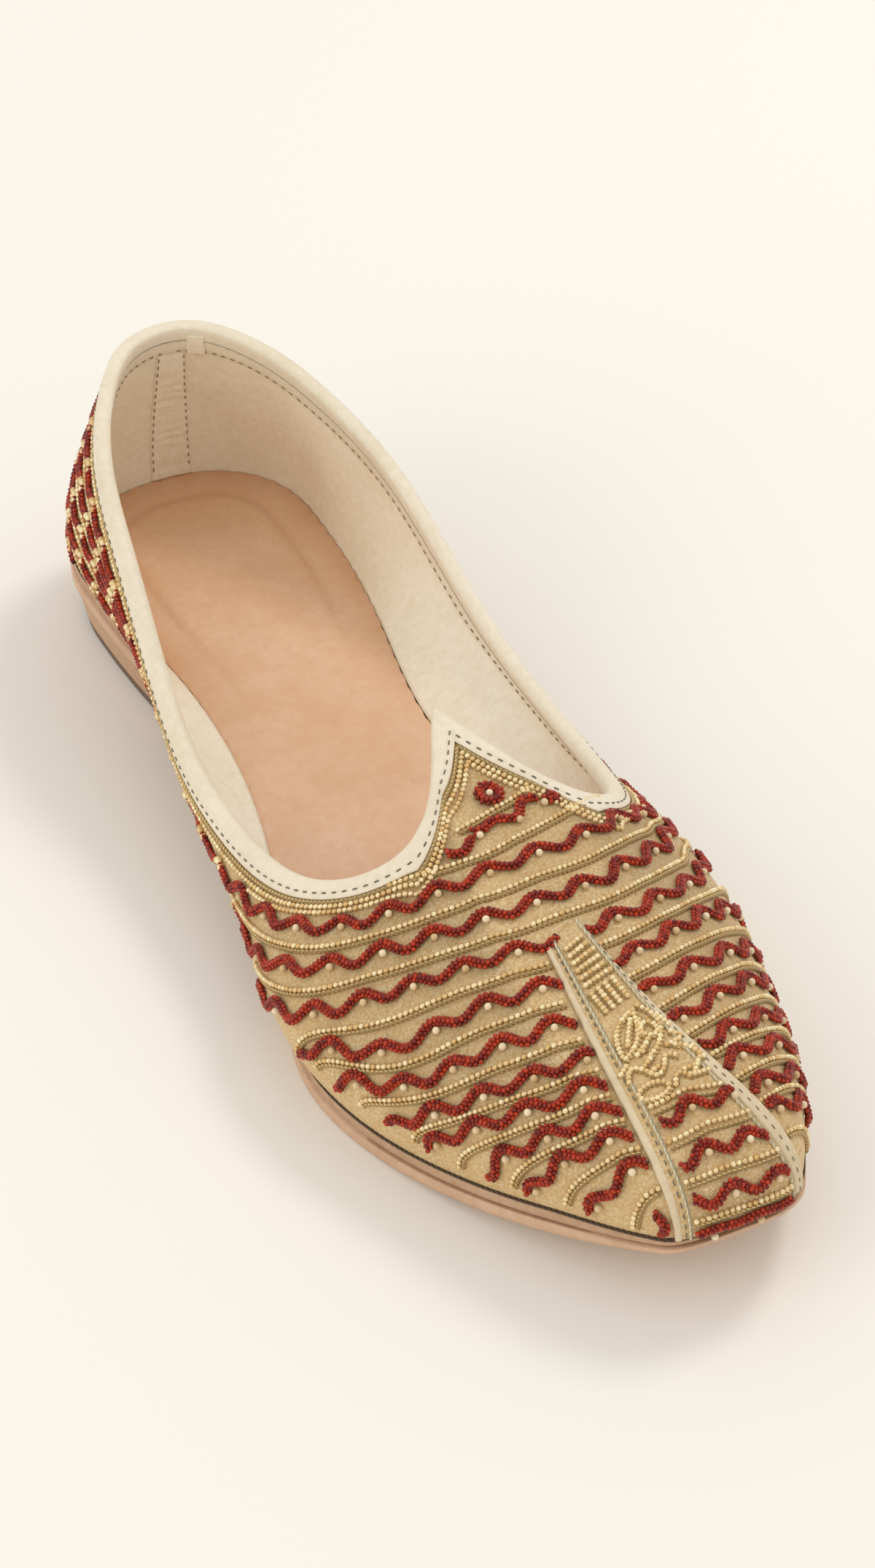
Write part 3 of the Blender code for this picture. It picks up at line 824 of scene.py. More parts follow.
def up_across(around, stations):
    """Share up the skin at which the strips cross a row given in plan; not a number where they don't."""
    ups = np.linspace(0.0, 1.0, 161)
    places = skin(around[:, None], ups[None, :])
    beyond = places[..., 1] - spline(ROW_X, stations)(places[..., 0])
    crossing = (beyond[:, :-1] > 0) & (beyond[:, 1:] <= 0)
    strip = np.arange(len(around))
    below = crossing.argmax(axis=1)
    near, far = beyond[strip, below], beyond[strip, below + 1]
    share = near / np.where(near == far, 1.0, near - far)
    return np.where(crossing.any(axis=1), ups[below] + share * (ups[1] - ups[0]), np.nan)


def long_row(stations, sides, depth):
    """Row that runs all round the shoe: around and up."""
    quarter = np.array(QUARTER_PLACES)
    outer_plan = np.linspace(PLAN_START, MIDDLE, 8)
    inner_plan = np.linspace(MIDDLE, PLAN_END, 8)
    outer = np.concatenate([quarter, OUTER_SIDE, outer_plan])
    outer_up = np.concatenate([up_at_depth(quarter, depth), sides[0], up_across(outer_plan, stations)])
    inner = np.concatenate([inner_plan, INNER_SIDE, 1 - quarter[::-1]])
    inner_quarter = up_at_depth(1 - quarter[::-1], depth)
    inner_up = np.concatenate([up_across(inner_plan, stations), sides[1], inner_quarter])
    outer_way = np.linspace(0, MIDDLE, ROW_SAMPLES)
    inner_way = np.linspace(MIDDLE, 1, ROW_SAMPLES)
    up = np.concatenate([spline(outer, outer_up)(outer_way), spline(inner, inner_up)(inner_way)[1:]])
    return np.concatenate([outer_way, inner_way[1:]]), up


def short_row(stations):
    """Row over the toe that ends at the sole on both sides: around and up."""
    around = np.linspace(0.30, 0.70, ROW_SAMPLES)
    up = up_across(around, stations)
    found = np.isfinite(up)
    return around[found], up[found]


def between(first, second):
    """Row midway between two rows."""
    return np.add(first, second) / 2


def on_skin(x, station, tries=8):
    """Place on the vamp over points given in plan: around and up."""
    arounds = np.linspace(0.38, 0.62, 73)
    ups = np.linspace(0.02, 0.99, 60)
    known = skin(arounds[:, None], ups[None, :]).reshape(-1, 3)
    away = (known[None, :, 0] - x[:, None]) ** 2 + (known[None, :, 1] - station[:, None]) ** 2
    nearest = away.argmin(axis=1)
    around = arounds[nearest // len(ups)]
    up = ups[nearest % len(ups)]
    step = 4e-4
    most_turn = 0.004
    most_rise = 0.02
    for _ in range(tries):
        here = skin(around, up)
        sideways = (skin(around + step, up) - here) / step
        upwards = (skin(around, up + step) - here) / step
        miss_x = x - here[:, 0]
        miss_s = station - here[:, 1]
        area = sideways[:, 0] * upwards[:, 1] - sideways[:, 1] * upwards[:, 0]
        turn = (miss_x * upwards[:, 1] - miss_s * upwards[:, 0]) / area
        rise = (sideways[:, 0] * miss_s - sideways[:, 1] * miss_x) / area
        around = np.clip(around + np.clip(turn, -most_turn, most_turn), arounds[0], arounds[-1])
        up = np.clip(up + np.clip(rise, -most_rise, most_rise), ups[0], ups[-1])
    return around, up


def lay_in_plan(places, lift=0.0):
    """Smooth line on the vamp through places given in plan, each an x and a station."""
    places = np.asarray(places, float)
    way = run_along(places)
    fine = np.linspace(0, way[-1], max(int(way[-1] / 0.35), 8))
    x = spline(way, places[:, 0])(fine)
    station = spline(way, places[:, 1])(fine)
    return raised(lay(*on_skin(x, station), FIGURE_SPACING), lift)


def ring_in_plan(x, station, wide, long, lift, spacing=FIGURE_SPACING):
    """Closed oval on the vamp."""
    turn = np.linspace(0, 2 * math.pi, 25)
    ring = on_skin(x + wide * np.cos(turn), station + long * np.sin(turn))
    return raised(lay(*ring, spacing), lift)


def chain(line, step=GOLD_STEP, lift=BEAD_LIFT):
    """Places of beads in a string along a line."""
    centre, out = resample(line.place, line.out, step)
    return centre + out * lift


def depth_row(depth, start, end):
    """Row at an even depth below the rim: around and up."""
    around = np.linspace(start, end, ROUND_SAMPLES + 1)
    return around, up_at_depth(around, depth)


def heel_row(depth):
    """Row round the heel, from one quarter to the other."""
    return depth_row(depth, -QUARTER_END, QUARTER_END)


def crest_way(line, crest_x):
    """Way along a line to a place near the middle of the vamp."""
    middle = np.abs(line.around - MIDDLE) < 0.12
    return line.way[middle][np.argmin(np.abs(line.place[middle, 0] - crest_x))]


# Materials


def colour(code):
    """Linear colour from the hexadecimal code of a swatch."""
    parts = [int(code[i:i + 2], 16) / 255 for i in (0, 2, 4)]
    linear = [c / 12.92 if c <= 0.04045 else ((c + 0.055) / 1.055) ** 2.4 for c in parts]
    return (*linear, 1.0)


def node(tree, kind, values=None, **settings):
    """Shader node with its settings; a value is a number, a colour or another node's socket."""
    made = tree.nodes.new("ShaderNode" + kind)
    for key, value in settings.items():
        setattr(made, key, value)
    for key, value in (values or {}).items():
        if isinstance(value, bpy.types.NodeSocket):
            tree.links.new(value, made.inputs[key])
        else:
            made.inputs[key].default_value = value
    return made


def sums(tree, operation, *values):
    """Result of a Math node."""
    return node(tree, "Math", dict(enumerate(values)), operation=operation).outputs[0]


def mixed(tree, share, first, second):
    """Result of mixing two colours."""
    return node(tree, "Mix", {0: share, 6: first, 7: second}, data_type="RGBA").outputs[2]


def ramp(tree, value, low, high, to_low=0.0, to_high=1.0):
    """Value spread from one range to another and held at its ends."""
    inputs = {0: value, 1: low, 2: high, 3: to_low, 4: to_high}
    return node(tree, "MapRange", inputs, clamp=True).outputs[0]


def noise(tree, place, scale, detail=3.0, roughness=0.55):
    """Cloudy value between 0 and 1."""
    inputs = {"Vector": place, "Scale": scale, "Detail": detail, "Roughness": roughness}
    return node(tree, "TexNoise", inputs).outputs["Fac"]


def body_place(tree):
    """Place on the piece, in metres."""
    return node(tree, "TexCoord").outputs["Object"]


def mark(tree, name, output="Fac"):
    """Value that the mesh carries at each point."""
    return node(tree, "Attribute", attribute_name=name).outputs[output]


def group(name, inputs, outputs):
    """Empty shader group with its sockets."""
    tree = bpy.data.node_groups.new(name, "ShaderNodeTree")
    for label, kind, value in inputs:
        socket = tree.interface.new_socket(label, in_out="INPUT", socket_type="NodeSocket" + kind)
        socket.default_value = value
    for label, kind in outputs:
        tree.interface.new_socket(label, in_out="OUTPUT", socket_type="NodeSocket" + kind)
    return tree, tree.nodes.new("NodeGroupInput"), tree.nodes.new("NodeGroupOutput")


def leather_grain():
    """Pores and creases of leather: a height and a soft mottle."""
    tree, given, result = group(
        "leather grain",
        [("Pore Size", "Float", 0.6), ("Creases", "Float", 0.3)],
        [("Height", "Float"), ("Mottle", "Float")],
    )
    place = body_place(tree)
    cells = sums(tree, "DIVIDE", 1000.0, given.outputs["Pore Size"])
    pores = node(tree, "TexVoronoi", {"Vector": place, "Scale": cells}, feature="F1").outputs["Distance"]
    fine = noise(tree, place, cells, 4.0)
    pebble = ramp(tree, pores, 0.1, 0.7, 1.0, 0.0)
    wide = noise(tree, place, 90.0, 5.0, 0.6)
    crease = ramp(tree, sums(tree, "ABSOLUTE", sums(tree, "SUBTRACT", wide, 0.5)), 0.0, 0.05)
    crease = sums(tree, "MULTIPLY", crease, given.outputs["Creases"])
    height = sums(tree, "ADD", sums(tree, "MULTIPLY", pebble, 0.6), sums(tree, "MULTIPLY", fine, 0.4))
    tree.links.new(sums(tree, "ADD", height, crease), result.inputs["Height"])
    tree.links.new(noise(tree, place, 38.0, 4.0, 0.6), result.inputs["Mottle"])
    return tree


def woven_threads():
    """Twill of fine threads laid along the upper: a height and a mask of the lit threads."""
    tree, given, result = group(
        "woven threads",
        [("Place", "Vector", (0.0, 0.0, 0.0)), ("Thread", "Float", 0.35), ("Slub", "Float", 0.3)],
        [("Height", "Float"), ("Lit", "Float")],
    )
    apart = node(tree, "SeparateXYZ", {0: given.outputs["Place"]})
    turn = sums(tree, "DIVIDE", 2 * math.pi, given.outputs["Thread"])
    warp = sums(tree, "MULTIPLY", apart.outputs[0], turn)
    weft = sums(tree, "MULTIPLY", apart.outputs[1], turn)
    over = sums(tree, "SINE", sums(tree, "ADD", warp, weft))
    under = sums(tree, "SINE", sums(tree, "SUBTRACT", warp, weft))
    slub = noise(tree, given.outputs["Place"], 0.9, 4.0)
    body = sums(tree, "MULTIPLY", over, under)
    uneven = sums(tree, "MULTIPLY", slub, given.outputs["Slub"])
    height = sums(tree, "ADD", sums(tree, "MULTIPLY", body, 0.5), uneven)
    tree.links.new(height, result.inputs["Height"])
    lit = sums(tree, "ADD", sums(tree, "MULTIPLY", body, 0.35), slub)
    tree.links.new(ramp(tree, lit, 0.2, 0.95), result.inputs["Lit"])
    return tree


def twisted_thread():
    """Turns of a twisted cord or thread: a height and a mask of the turns' backs, used for painted light on
    the backs and painted shade in the grooves between them.
    """
    tree, given, result = group(
        "twisted thread",
        [("Turn Length", "Float", 1.2)],
        [("Height", "Float"), ("Lit Back", "Float")],
    )
    apart = node(tree, "SeparateXYZ", {0: mark(tree, "thread", "Vector")})
    along = sums(tree, "DIVIDE", apart.outputs[0], given.outputs["Turn Length"])
    spiral = sums(tree, "ADD", along, sums(tree, "MULTIPLY", apart.outputs[1], 2.0))
    wave = sums(tree, "SINE", sums(tree, "MULTIPLY", spiral, 2 * math.pi))
    tree.links.new(wave, result.inputs["Height"])
    tree.links.new(ramp(tree, wave, -0.6, 0.8), result.inputs["Lit Back"])
    return tree


def material(name):
    """Material with an empty Principled shader."""
    made = bpy.data.materials.new(name)
    made.use_nodes = True
    tree = made.node_tree
    return made, tree, tree.nodes["Principled BSDF"]


def use_group(tree, made, **values):
    """Places a group in a material with its own values."""
    placed = tree.nodes.new("ShaderNodeGroup")
    placed.node_tree = made
    for key, value in values.items():
        socket = placed.inputs[key.replace("_", " ")]
        if isinstance(value, bpy.types.NodeSocket):
            tree.links.new(value, socket)
        else:
            socket.default_value = value
    return placed


def bump(tree, shader, height, depth):
    """Feeds a height to the shader's normal; depth is in millimetres."""
    made = node(tree, "Bump", {"Height": height, "Distance": depth * MM, "Strength": 1.0})
    tree.links.new(made.outputs[0], shader.inputs["Normal"])


def set_values(shader, **values):
    """Sets values on the shader's own sockets."""
    for key, value in values.items():
        shader.inputs[key.replace("_", " ")].default_value = value


def smooth_leather(name, light, dark, grain, pore, creases, roughness, depth):
    """Smooth dyed leather: mottled colour, pores and fine creases."""
    made, tree, shader = material(name)
    hide = use_group(tree, grain, Pore_Size=pore, Creases=creases)
    nap = noise(tree, body_place(tree), scale=520.0, detail=4.0, roughness=0.7)
    mottle = ramp(tree, sums(tree, "ADD", hide.outputs["Mottle"], nap), 0.75, 1.3)
    tree.links.new(mixed(tree, mottle, colour(light), colour(dark)), shader.inputs["Base Color"])
    rough = ramp(tree, hide.outputs["Height"], 0.2, 1.2, roughness + 0.1, roughness - 0.06)
    tree.links.new(rough, shader.inputs["Roughness"])
    bump(tree, shader, hide.outputs["Height"], depth)
    return made


def insole_look(grain):
    """Insole leather: painted shade makes it darker in the corner beside the lining at the heel and along the
    pressed line.
    """
    made, tree, shader = material("insole_leather")
    hide = use_group(tree, grain, Pore_Size=0.6, Creases=0.15)
    mottle = ramp(tree, hide.outputs["Mottle"], 0.32, 0.7)
    base = mixed(tree, mottle, colour("E6BE9C"), colour("D9AB84"))
    rubbed = noise(tree, body_place(tree), scale=420.0, detail=5.0, roughness=0.7)
    nap = ramp(tree, rubbed, 0.42, 0.7, 0.0, 0.35)
    napped = mixed(tree, nap, base, colour("CE9B72"))
    # Painted shade: B98258 darkens the corner beside the lining and the pressed line.
    shaded_edge = mixed(tree, mark(tree, "corner_and_line_shade"), napped, colour("B98258"))
    tree.links.new(shaded_edge, shader.inputs["Base Color"])
    fine = noise(tree, body_place(tree), scale=900.0)
    tree.links.new(ramp(tree, fine, 0.3, 0.7, 0.5, 0.38), shader.inputs["Roughness"])
    bump(tree, shader, hide.outputs["Height"], 0.04)
    return made


def gold_weave(weave):
    """Gold metal-thread cloth of the upper; its base colour carries painted highlights on the lit threads and
    in small glint spots.
    """
    made, tree, shader = material("gold_thread_cloth")
    threads = use_group(tree, weave, Place=mark(tree, "cloth", "Vector"), Thread=0.42, Slub=0.5)
    broad = noise(tree, body_place(tree), scale=60.0, detail=4.0)
    glints = noise(tree, body_place(tree), scale=1700.0, detail=2.0)
    glint_spots = ramp(tree, glints, 0.38, 0.66)
    woven = sums(tree, "MULTIPLY", threads.outputs["Lit"], 0.55)
    lit = sums(tree, "ADD", woven, sums(tree, "MULTIPLY", glint_spots, 0.45))
    # Painted highlight: the lit threads and the glint spots lighten the base colour.
    base = mixed(tree, lit, colour("CF9B52"), colour("FFF1C4"))
    worn = mixed(tree, ramp(tree, broad, 0.42, 0.62, 0.0, 0.35), base, colour("E0B97C"))
    tree.links.new(worn, shader.inputs["Base Color"])
    tree.links.new(ramp(tree, threads.outputs["Lit"], 0.0, 1.0, 0.0, 0.2), shader.inputs["Metallic"])
    tree.links.new(ramp(tree, broad, 0.3, 0.7, 0.62, 0.42), shader.inputs["Roughness"])
    bump(tree, shader, sums(tree, "ADD", threads.outputs["Height"], glint_spots), 0.1)
    return made


def glass_beads(name, dark, light, roughness):
    """Glass beads, each with its own tone."""
    made, tree, shader = material(name)
    tone = mark(tree, "tone")
    tree.links.new(mixed(tree, tone, colour(dark), colour(light)), shader.inputs["Base Color"])
    set_values(shader, Roughness=roughness, Specular_IOR_Level=0.4)
    return made


def metal_beads(name, dark, light, roughness, metallic):
    """Beads with a metal skin, the lighter ones glossier."""
    made, tree, shader = material(name)
    tone = mark(tree, "tone")
    tree.links.new(mixed(tree, tone, colour(dark), colour(light)), shader.inputs["Base Color"])
    tree.links.new(ramp(tree, tone, 0.0, 1.0, roughness + 0.1, roughness), shader.inputs["Roughness"])
    set_values(shader, Metallic=metallic)
    return made


def spun_cord(name, dark, light, twist, turn_length, roughness, metallic=0.0):
    """Twisted cord or thread; its colour is painted darker in the grooves between the turns and lighter on
    their backs.
    """
    made, tree, shader = material(name)
    turns = use_group(tree, twist, Turn_Length=turn_length)
    # Painted shade and light: the colour follows the twist, dark in the grooves and light on the backs of the
    # turns.
    turned = mixed(tree, turns.outputs["Lit Back"], colour(dark), colour(light))
    tree.links.new(turned, shader.inputs["Base Color"])
    set_values(shader, Roughness=roughness, Metallic=metallic)
    bump(tree, shader, turns.outputs["Height"], 0.12)
    return made


def plain_floor():
    """Matt off-white of the studio floor."""
    made, _, shader = material("studio_floor")
    set_values(shader, Base_Color=colour("F6F2E9"), Roughness=0.9)
    return made


GRAIN = leather_grain()
WEAVE = woven_threads()
TWIST = twisted_thread()

GOLD_CLOTH = gold_weave(WEAVE)
CREAM_LEATHER = smooth_leather("cream_binding_leather", "EEE2CC", "E0D2B6", GRAIN, 0.5, 0.25, 0.5, 0.05)
LINING_LEATHER = smooth_leather("lining_leather", "F5EAD6", "E7D8BC", GRAIN, 0.7, 0.5, 0.6, 0.07)
INSOLE_LEATHER = insole_look(GRAIN)
SOLE_LEATHER = smooth_leather("sole_leather", "D4B091", "C29A78", GRAIN, 0.45, 0.2, 0.5, 0.04)
MIDSOLE_LEATHER = smooth_leather("midsole_leather", "C6A283", "AD8864", GRAIN, 0.45, 0.2, 0.6, 0.05)
HEEL_LEATHER = smooth_leather("heel_leather", "C8A484", "B48E6C", GRAIN, 0.45, 0.2, 0.5, 0.04)
# The heel's top piece is coloured much darker than the lifts above it.
DARK_HEEL_TOP = smooth_leather("heel_top_dark", "7C6552", "63503F", GRAIN, 0.3, 0.1, 0.7, 0.03)
BAND_CLOTH = gold_weave(WEAVE)
RED_GLASS = glass_beads("red_glass_beads", "6C0E02", "B8340C", 0.09)
RED_CORE = spun_cord("red_cord_core", "3C0602", "5E0E04", TWIST, 1.2, 0.6)
GOLD_METAL = metal_beads("gold_beads", "DBB475", "FBE9BA", 0.24, 0.4)
PEARL_GLOSS = glass_beads("pearl_beads", "D0AE7C", "F4E0BC", 0.22)
DARK_GOLD = spun_cord("dark_gold_cord", "AE8848", "EBD096", TWIST, 1.1, 0.5, 0.2)
CREAM_CORD = spun_cord("cream_edge_cord", "C8B88E", "E8DCBC", TWIST, 1.6, 0.55)
EDGE_LEATHER = smooth_leather("band_edge_leather", "DFCCAA", "CFB994", GRAIN, 0.5, 0.25, 0.5, 0.05)
CREAM_LEATHER_CORD = spun_cord("cream_welt", "E2D5BB", "EFE6D2", TWIST, 3.0, 0.6)
DARK_THREAD = spun_cord("stitch_thread", "878272", "ABA491", TWIST, 0.6, 0.7)
LINING_THREAD = spun_cord("lining_thread", "AE9E80", "CABB9B", TWIST, 0.6, 0.7)
# Painted shade: a dark cord laid in the corner between the cloth and the sole.
CORNER_SHADE_CORD = spun_cord("corner_shade_cord", "3A2A1A", "5C452C", TWIST, 1.4, 0.8)


# Pieces


def crowded(columns):
    """Places round the shoe, closer together at the heel and the toe."""
    even = np.arange(columns) / columns
    return even - 0.3 * np.sin(4 * math.pi * even) / (4 * math.pi)


def thread_place(around, points):
    """Where the weave's threads lie: way round the shoe and way down from the rim, in mm."""
    girth = 620.0
    steps = np.linalg.norm(np.diff(points, axis=0), axis=-1)
    down = np.concatenate([np.zeros((1, points.shape[1])), np.cumsum(steps, axis=0)])
    return np.stack(np.broadcast_arrays(around * girth, down, 0.0), -1)


def shell(columns=420, outside_rows=72, inside_rows=40):
    """Upper: gold cloth outside and leather lining inside, one closed shell."""
    around = crowded(columns)
    outer_up = np.linspace(0, 1, outside_rows + 1)
    inner_up = np.linspace(1, 0, inside_rows + 1)
    outside = layer(around[None, :], outer_up[:, None], np.zeros((outside_rows + 1, columns)))
    inside = layer(around[None, :], inner_up[:, None], np.full((inside_rows + 1, columns), -WALL))
    points = np.concatenate([outside, inside])
    faces = lattice(len(points), columns, closed=True)
    looks = np.where(faces[:, 0] // columns < outside_rows, 0, 1)
    cloth = thread_place(around[None, :], points).reshape(-1, 3)
    mesh = array_mesh("upper_cloth", points.reshape(-1, 3), faces, {"cloth": cloth}, looks)
    return piece("upper_cloth", facing_out(mesh), [GOLD_CLOTH, LINING_LEATHER], "upper")


def patch(name, around, up, top, bottom, look, node_name=None):
    """Closed piece that lies on the skin between two offsets from it; its grids have one row for each cut."""
    face = layer(around, up, top)
    back = layer(around, up, np.broadcast_to(float(bottom), around.shape))
    points = np.concatenate([face, back[:, ::-1]], axis=1)
    rows, columns = points.shape[:2]
    ends = end_faces(0, columns, False) + end_faces((rows - 1) * columns, columns, True)
    faces = np.concatenate([lattice(rows, columns), np.array(ends)])
    both = np.concatenate([around, around[:, ::-1]], axis=1)
    cloth = thread_place(both, points).reshape(-1, 3)
    mesh = array_mesh(name, points.reshape(-1, 3), faces, {"cloth": cloth})
    return piece(name, facing_out(mesh), [look], node_name)


def rounded(share, edge):
    """Height across a strip that falls off over a share of its width at both edges."""
    inside = np.clip((1 - np.abs(share)) / edge, 0, 1)
    return np.sqrt(1 - (1 - inside) ** 2)


def binding_section():
    """Depth below the rim and offset from the skin, round the folded strip."""
    near = BINDING_GAP
    far = BINDING_TOP
    middle = -WALL / 2
    half = far + WALL / 2
    outside = [(BINDING_LEG, near), (BINDING_LEG + 0.05, near + 0.4), (BINDING_LEG - 0.25, far - 0.15)]
    outside += [(BINDING_LEG - 0.8, far), (BINDING_LEG - 1.3, far)]
    outside += [(2.6, far + 0.1), (1.6, far + 0.12), (0.6, far)]
    turn = np.radians(np.arange(20, 161, 20))
    fold = [(-half * 0.62 * math.sin(a), middle + half * math.cos(a)) for a in turn]
    inner_near = -WALL - near
    inner_far = -WALL - far
    inside = [(0.8, inner_far), (2.0, inner_far - 0.1), (3.4, inner_far - 0.05), (4.8, inner_far)]
    inside += [(BINDING_INNER_LEG - 0.4, inner_far), (BINDING_INNER_LEG, inner_far + 0.3)]
    lining = [(BINDING_INNER_LEG, inner_near), (BINDING_INNER_LEG / 2, inner_near), (-near, inner_near)]
    facing = [(-near, near), (BINDING_LEG / 2, near)]
    return outside + fold + inside + lining + facing


def topline_binding(columns=900):
    """Strip of leather folded over the whole rim."""
    around = crowded(columns)
    loops = np.array([below_rim(around, depth, offset) for depth, offset in binding_section()])
    faces = lattice(len(loops), columns, closed=True)
    mesh = array_mesh("topline_fold", loops.reshape(-1, 3), faces)
    return piece("topline_fold", facing_out(mesh), [CREAM_LEATHER], "topline_binding")


def sole_loop(inset, height, end, count):
    """Loop round one level of a layer: down the outer side from the heel and back up the inner side."""
    share, _, station, _, _ = half_outline(LATERAL, inset)
    last = np.interp(end, station, share)
    stations = np.interp(np.linspace(0, last, count + 1), share, station)
    stations[-1] = min(end, LENGTH - inset)
    outer = [(LATERAL * half_width(LATERAL, s, inset), s, height(s)) for s in stations]
    inner = [(MEDIAL * half_width(MEDIAL, s, inset), s, height(s)) for s in stations]
    outer[0] = (0.0, stations[0], height(stations[0]))
    if end >= LENGTH:
        outer[-1] = (0.0, stations[-1], height(stations[-1]))
        inner = inner[:-1]
    return outer + inner[:0:-1]


def plate(name, levels, end, count, look, node_name):
    """Closed layer with the sole's outline; a level is an inset and a height that depends on the station."""
    loops = [sole_loop(inset, height, end, count) for inset, height in levels]
    form = bmesh.new()
    rows = [[form.verts.new(point) for point in in_frame(loop)] for loop in loops]
    for near, far in zip(rows, rows[1:]):
        for i in range(len(near)):
            j = (i + 1) % len(near)
            form.faces.new((near[i], near[j], far[j], far[i]))
    for row in (rows[0], rows[-1]):
        for i in range(count):
            corners = (row[i], row[i + 1], row[-i - 1], row[-i])
            form.faces.new(tuple(dict.fromkeys(corners)))
    bmesh.ops.recalc_face_normals(form, faces=form.faces)
    mesh = bpy.data.meshes.new(name)
    form.to_mesh(mesh)
    form.free()
    mesh.shade_smooth()
    mesh.set_sharp_from_angle(angle=SHARP)
    return piece(name, mesh, [look], node_name)


def outsole():
    """Bottom layer, its edges rounded over."""
    bevel = 0.8 / OUTSOLE_THICKNESS
    levels = (
        (0.9, ground),
        (0.35, stack(bevel * 0.3, 0, 0)),
        (0.05, stack(bevel * 0.9, 0, 0)),
        (0.0, stack(0.5, 0, 0)),
        (0.05, stack(1 - bevel * 0.5, 0, 0)),
        (0.4, stack(1, 0, 0)),
    )
    return plate("outsole_layer", levels, LENGTH, SOLE_CUTS, SOLE_LEATHER, "outsole")


def midsole():
    """Layer between the outsole and the upper."""
    bevel = 0.5 / MIDSOLE_THICKNESS
    levels = (
        (MIDSOLE_SET_IN + 0.4, stack(1, 0, 1)),
        (MIDSOLE_SET_IN, stack(1, bevel, 1)),
        (MIDSOLE_SET_IN, stack(1, 1 - bevel, 1)),
        (MIDSOLE_SET_IN + 0.3, stack(1, 1, 1)),
    )
    return plate("midsole_layer", levels, LENGTH, SOLE_CUTS, MIDSOLE_LEATHER, "midsole")


def heel_inset(height):
    """How far the heel's side stands in from the sole's edge at one height."""
    return MIDSOLE_SET_IN + HEEL_TAPER * (1 - height / HEEL_HEIGHT)


def heel():
    """Heel of three leather lifts with fine seams between them, on its top piece."""
    bottom = TOP_PIECE_THICKNESS + GAP
    top = HEEL_HEIGHT - GAP
    lifts = 3
    seam = 0.22
    edge = 0.25
    levels = []
    for i in range(lifts):
        low = bottom + (top - bottom) * i / lifts
        high = bottom + (top - bottom) * (i + 1) / lifts
        for height, depth in ((low, seam), (low + edge, 0.0), (high - edge, 0.0)):
            levels.append((heel_inset(height) + depth, lambda s, height=height: height))
    levels.append((heel_inset(top) + seam, lambda s: top))
    plate("heel_lifts", levels, HEEL_LENGTH, HEEL_CUTS, HEEL_LEATHER, "heel_block")
    heights = ((0.0, 0.4), (0.3, 0.0), (TOP_PIECE_THICKNESS - 0.2, 0.0), (TOP_PIECE_THICKNESS, 0.2))
    levels = [(heel_inset(h) + d, lambda s, h=h: h) for h, d in heights]
    plate("heel_tread", levels, HEEL_LENGTH, HEEL_CUTS, DARK_HEEL_TOP, "heel_top_piece")


INSOLE_FACE = stack(1, 1, 2, INSOLE_THICKNESS)

# Insole: its room beside the lining, the line pressed into it and how far from the edge that lies, and the
# stations where the line and the hollow of the heel begin to fade and over what length
INSOLE_ROOM = 0.2
PRESSED_AWAY = 9.5
PRESSED_FADE = (45, 55)
HOLLOW_FADE = (60, 60)


def fading(station, fade):
    """1 at the heel, 0 towards the toe."""
    start, length = fade
    return 1 - ease((station - start) / length)


def insole_edge(side):
    """Where the insole's face meets the lining on one side, from the heel to the toe."""
    ups = np.linspace(0, 0.3, 31)
    wall = layer(side[:, None], ups[None, :], np.full((len(side), len(ups)), -WALL - INSOLE_ROOM))
    above = wall[..., 2] - INSOLE_FACE(wall[..., 1])
    lowest = np.maximum.accumulate(above, axis=1)
    up = np.array([np.interp(0.0, level, ups) for level in lowest])
    return layer(side, up, np.full(len(side), -WALL - INSOLE_ROOM))


def insole(rows=200, columns=56):
    """Insole: fills the floor of the shoe up to the lining, with a line pressed in beside its edge."""
    around = np.linspace(0, MIDDLE, rows)
    outer = insole_edge(around)
    inner = insole_edge(1 - around)
    share = (1 - np.cos(np.linspace(0, math.pi, columns))) / 2
    top = outer[:, None, :] * (1 - share)[None, :, None] + inner[:, None, :] * share[None, :, None]
    rim = np.concatenate([outer, inner[::-1]])[:, :2]
    away = np.linalg.norm(top[:, :, None, :2] - rim[None, None, ::3], axis=-1).min(axis=-1)
    top[..., 2] = INSOLE_FACE(top[..., 1]) - insole_relief(away, top[..., 1])
    bottom = top.copy()
    bottom[..., 2] = FOOT_OF_UPPER(bottom[..., 1]) + 0.02
    points = np.concatenate([top, bottom[:, ::-1]], axis=1)
    ends = end_faces(0, 2 * columns, False) + end_faces((rows - 1) * 2 * columns, 2 * columns, True)
    faces = np.concatenate([lattice(rows, 2 * columns), np.array(ends)])
    # Painted shade: darker colour in the corner beside the lining at the heel and along the pressed line.
    edge = 0.55 * np.exp(-away / 3.5) * fading(top[..., 1], HOLLOW_FADE)
    line = 0.28 * np.exp(-((away - PRESSED_AWAY) / 1.1) ** 2) * fading(top[..., 1], PRESSED_FADE)
    corner_and_line_shade = np.concatenate([edge + line, 0 * away], axis=1)
    mesh = array_mesh("insole_sock", points.reshape(-1, 3), faces, {"corner_and_line_shade": corner_and_line_shade.ravel()})
    return piece("insole_sock", welded(mesh), [INSOLE_LEATHER], "insole")


def insole_relief(away, station):
    """Depth of the insole's face: rounded edge, pressed line beside the heel's edge, hollow of the heel."""
    edge = 0.45 * np.clip(1 - away / 0.8, 0, 1) ** 2
    pressed = 0.45 * fading(station, PRESSED_FADE) * np.exp(-((away - PRESSED_AWAY) / 0.7) ** 2)
    hollow = 0.6 * fading(station, HOLLOW_FADE) * ease((away - PRESSED_AWAY) / 12)
    return edge + pressed + hollow


def band_around(share, outer, inner):
    """Share of the way round, for a share of the band's width: -1 is its outer edge, 1 its inner one."""
    return MIDDLE + np.where(share < 0, share * outer, share * inner)


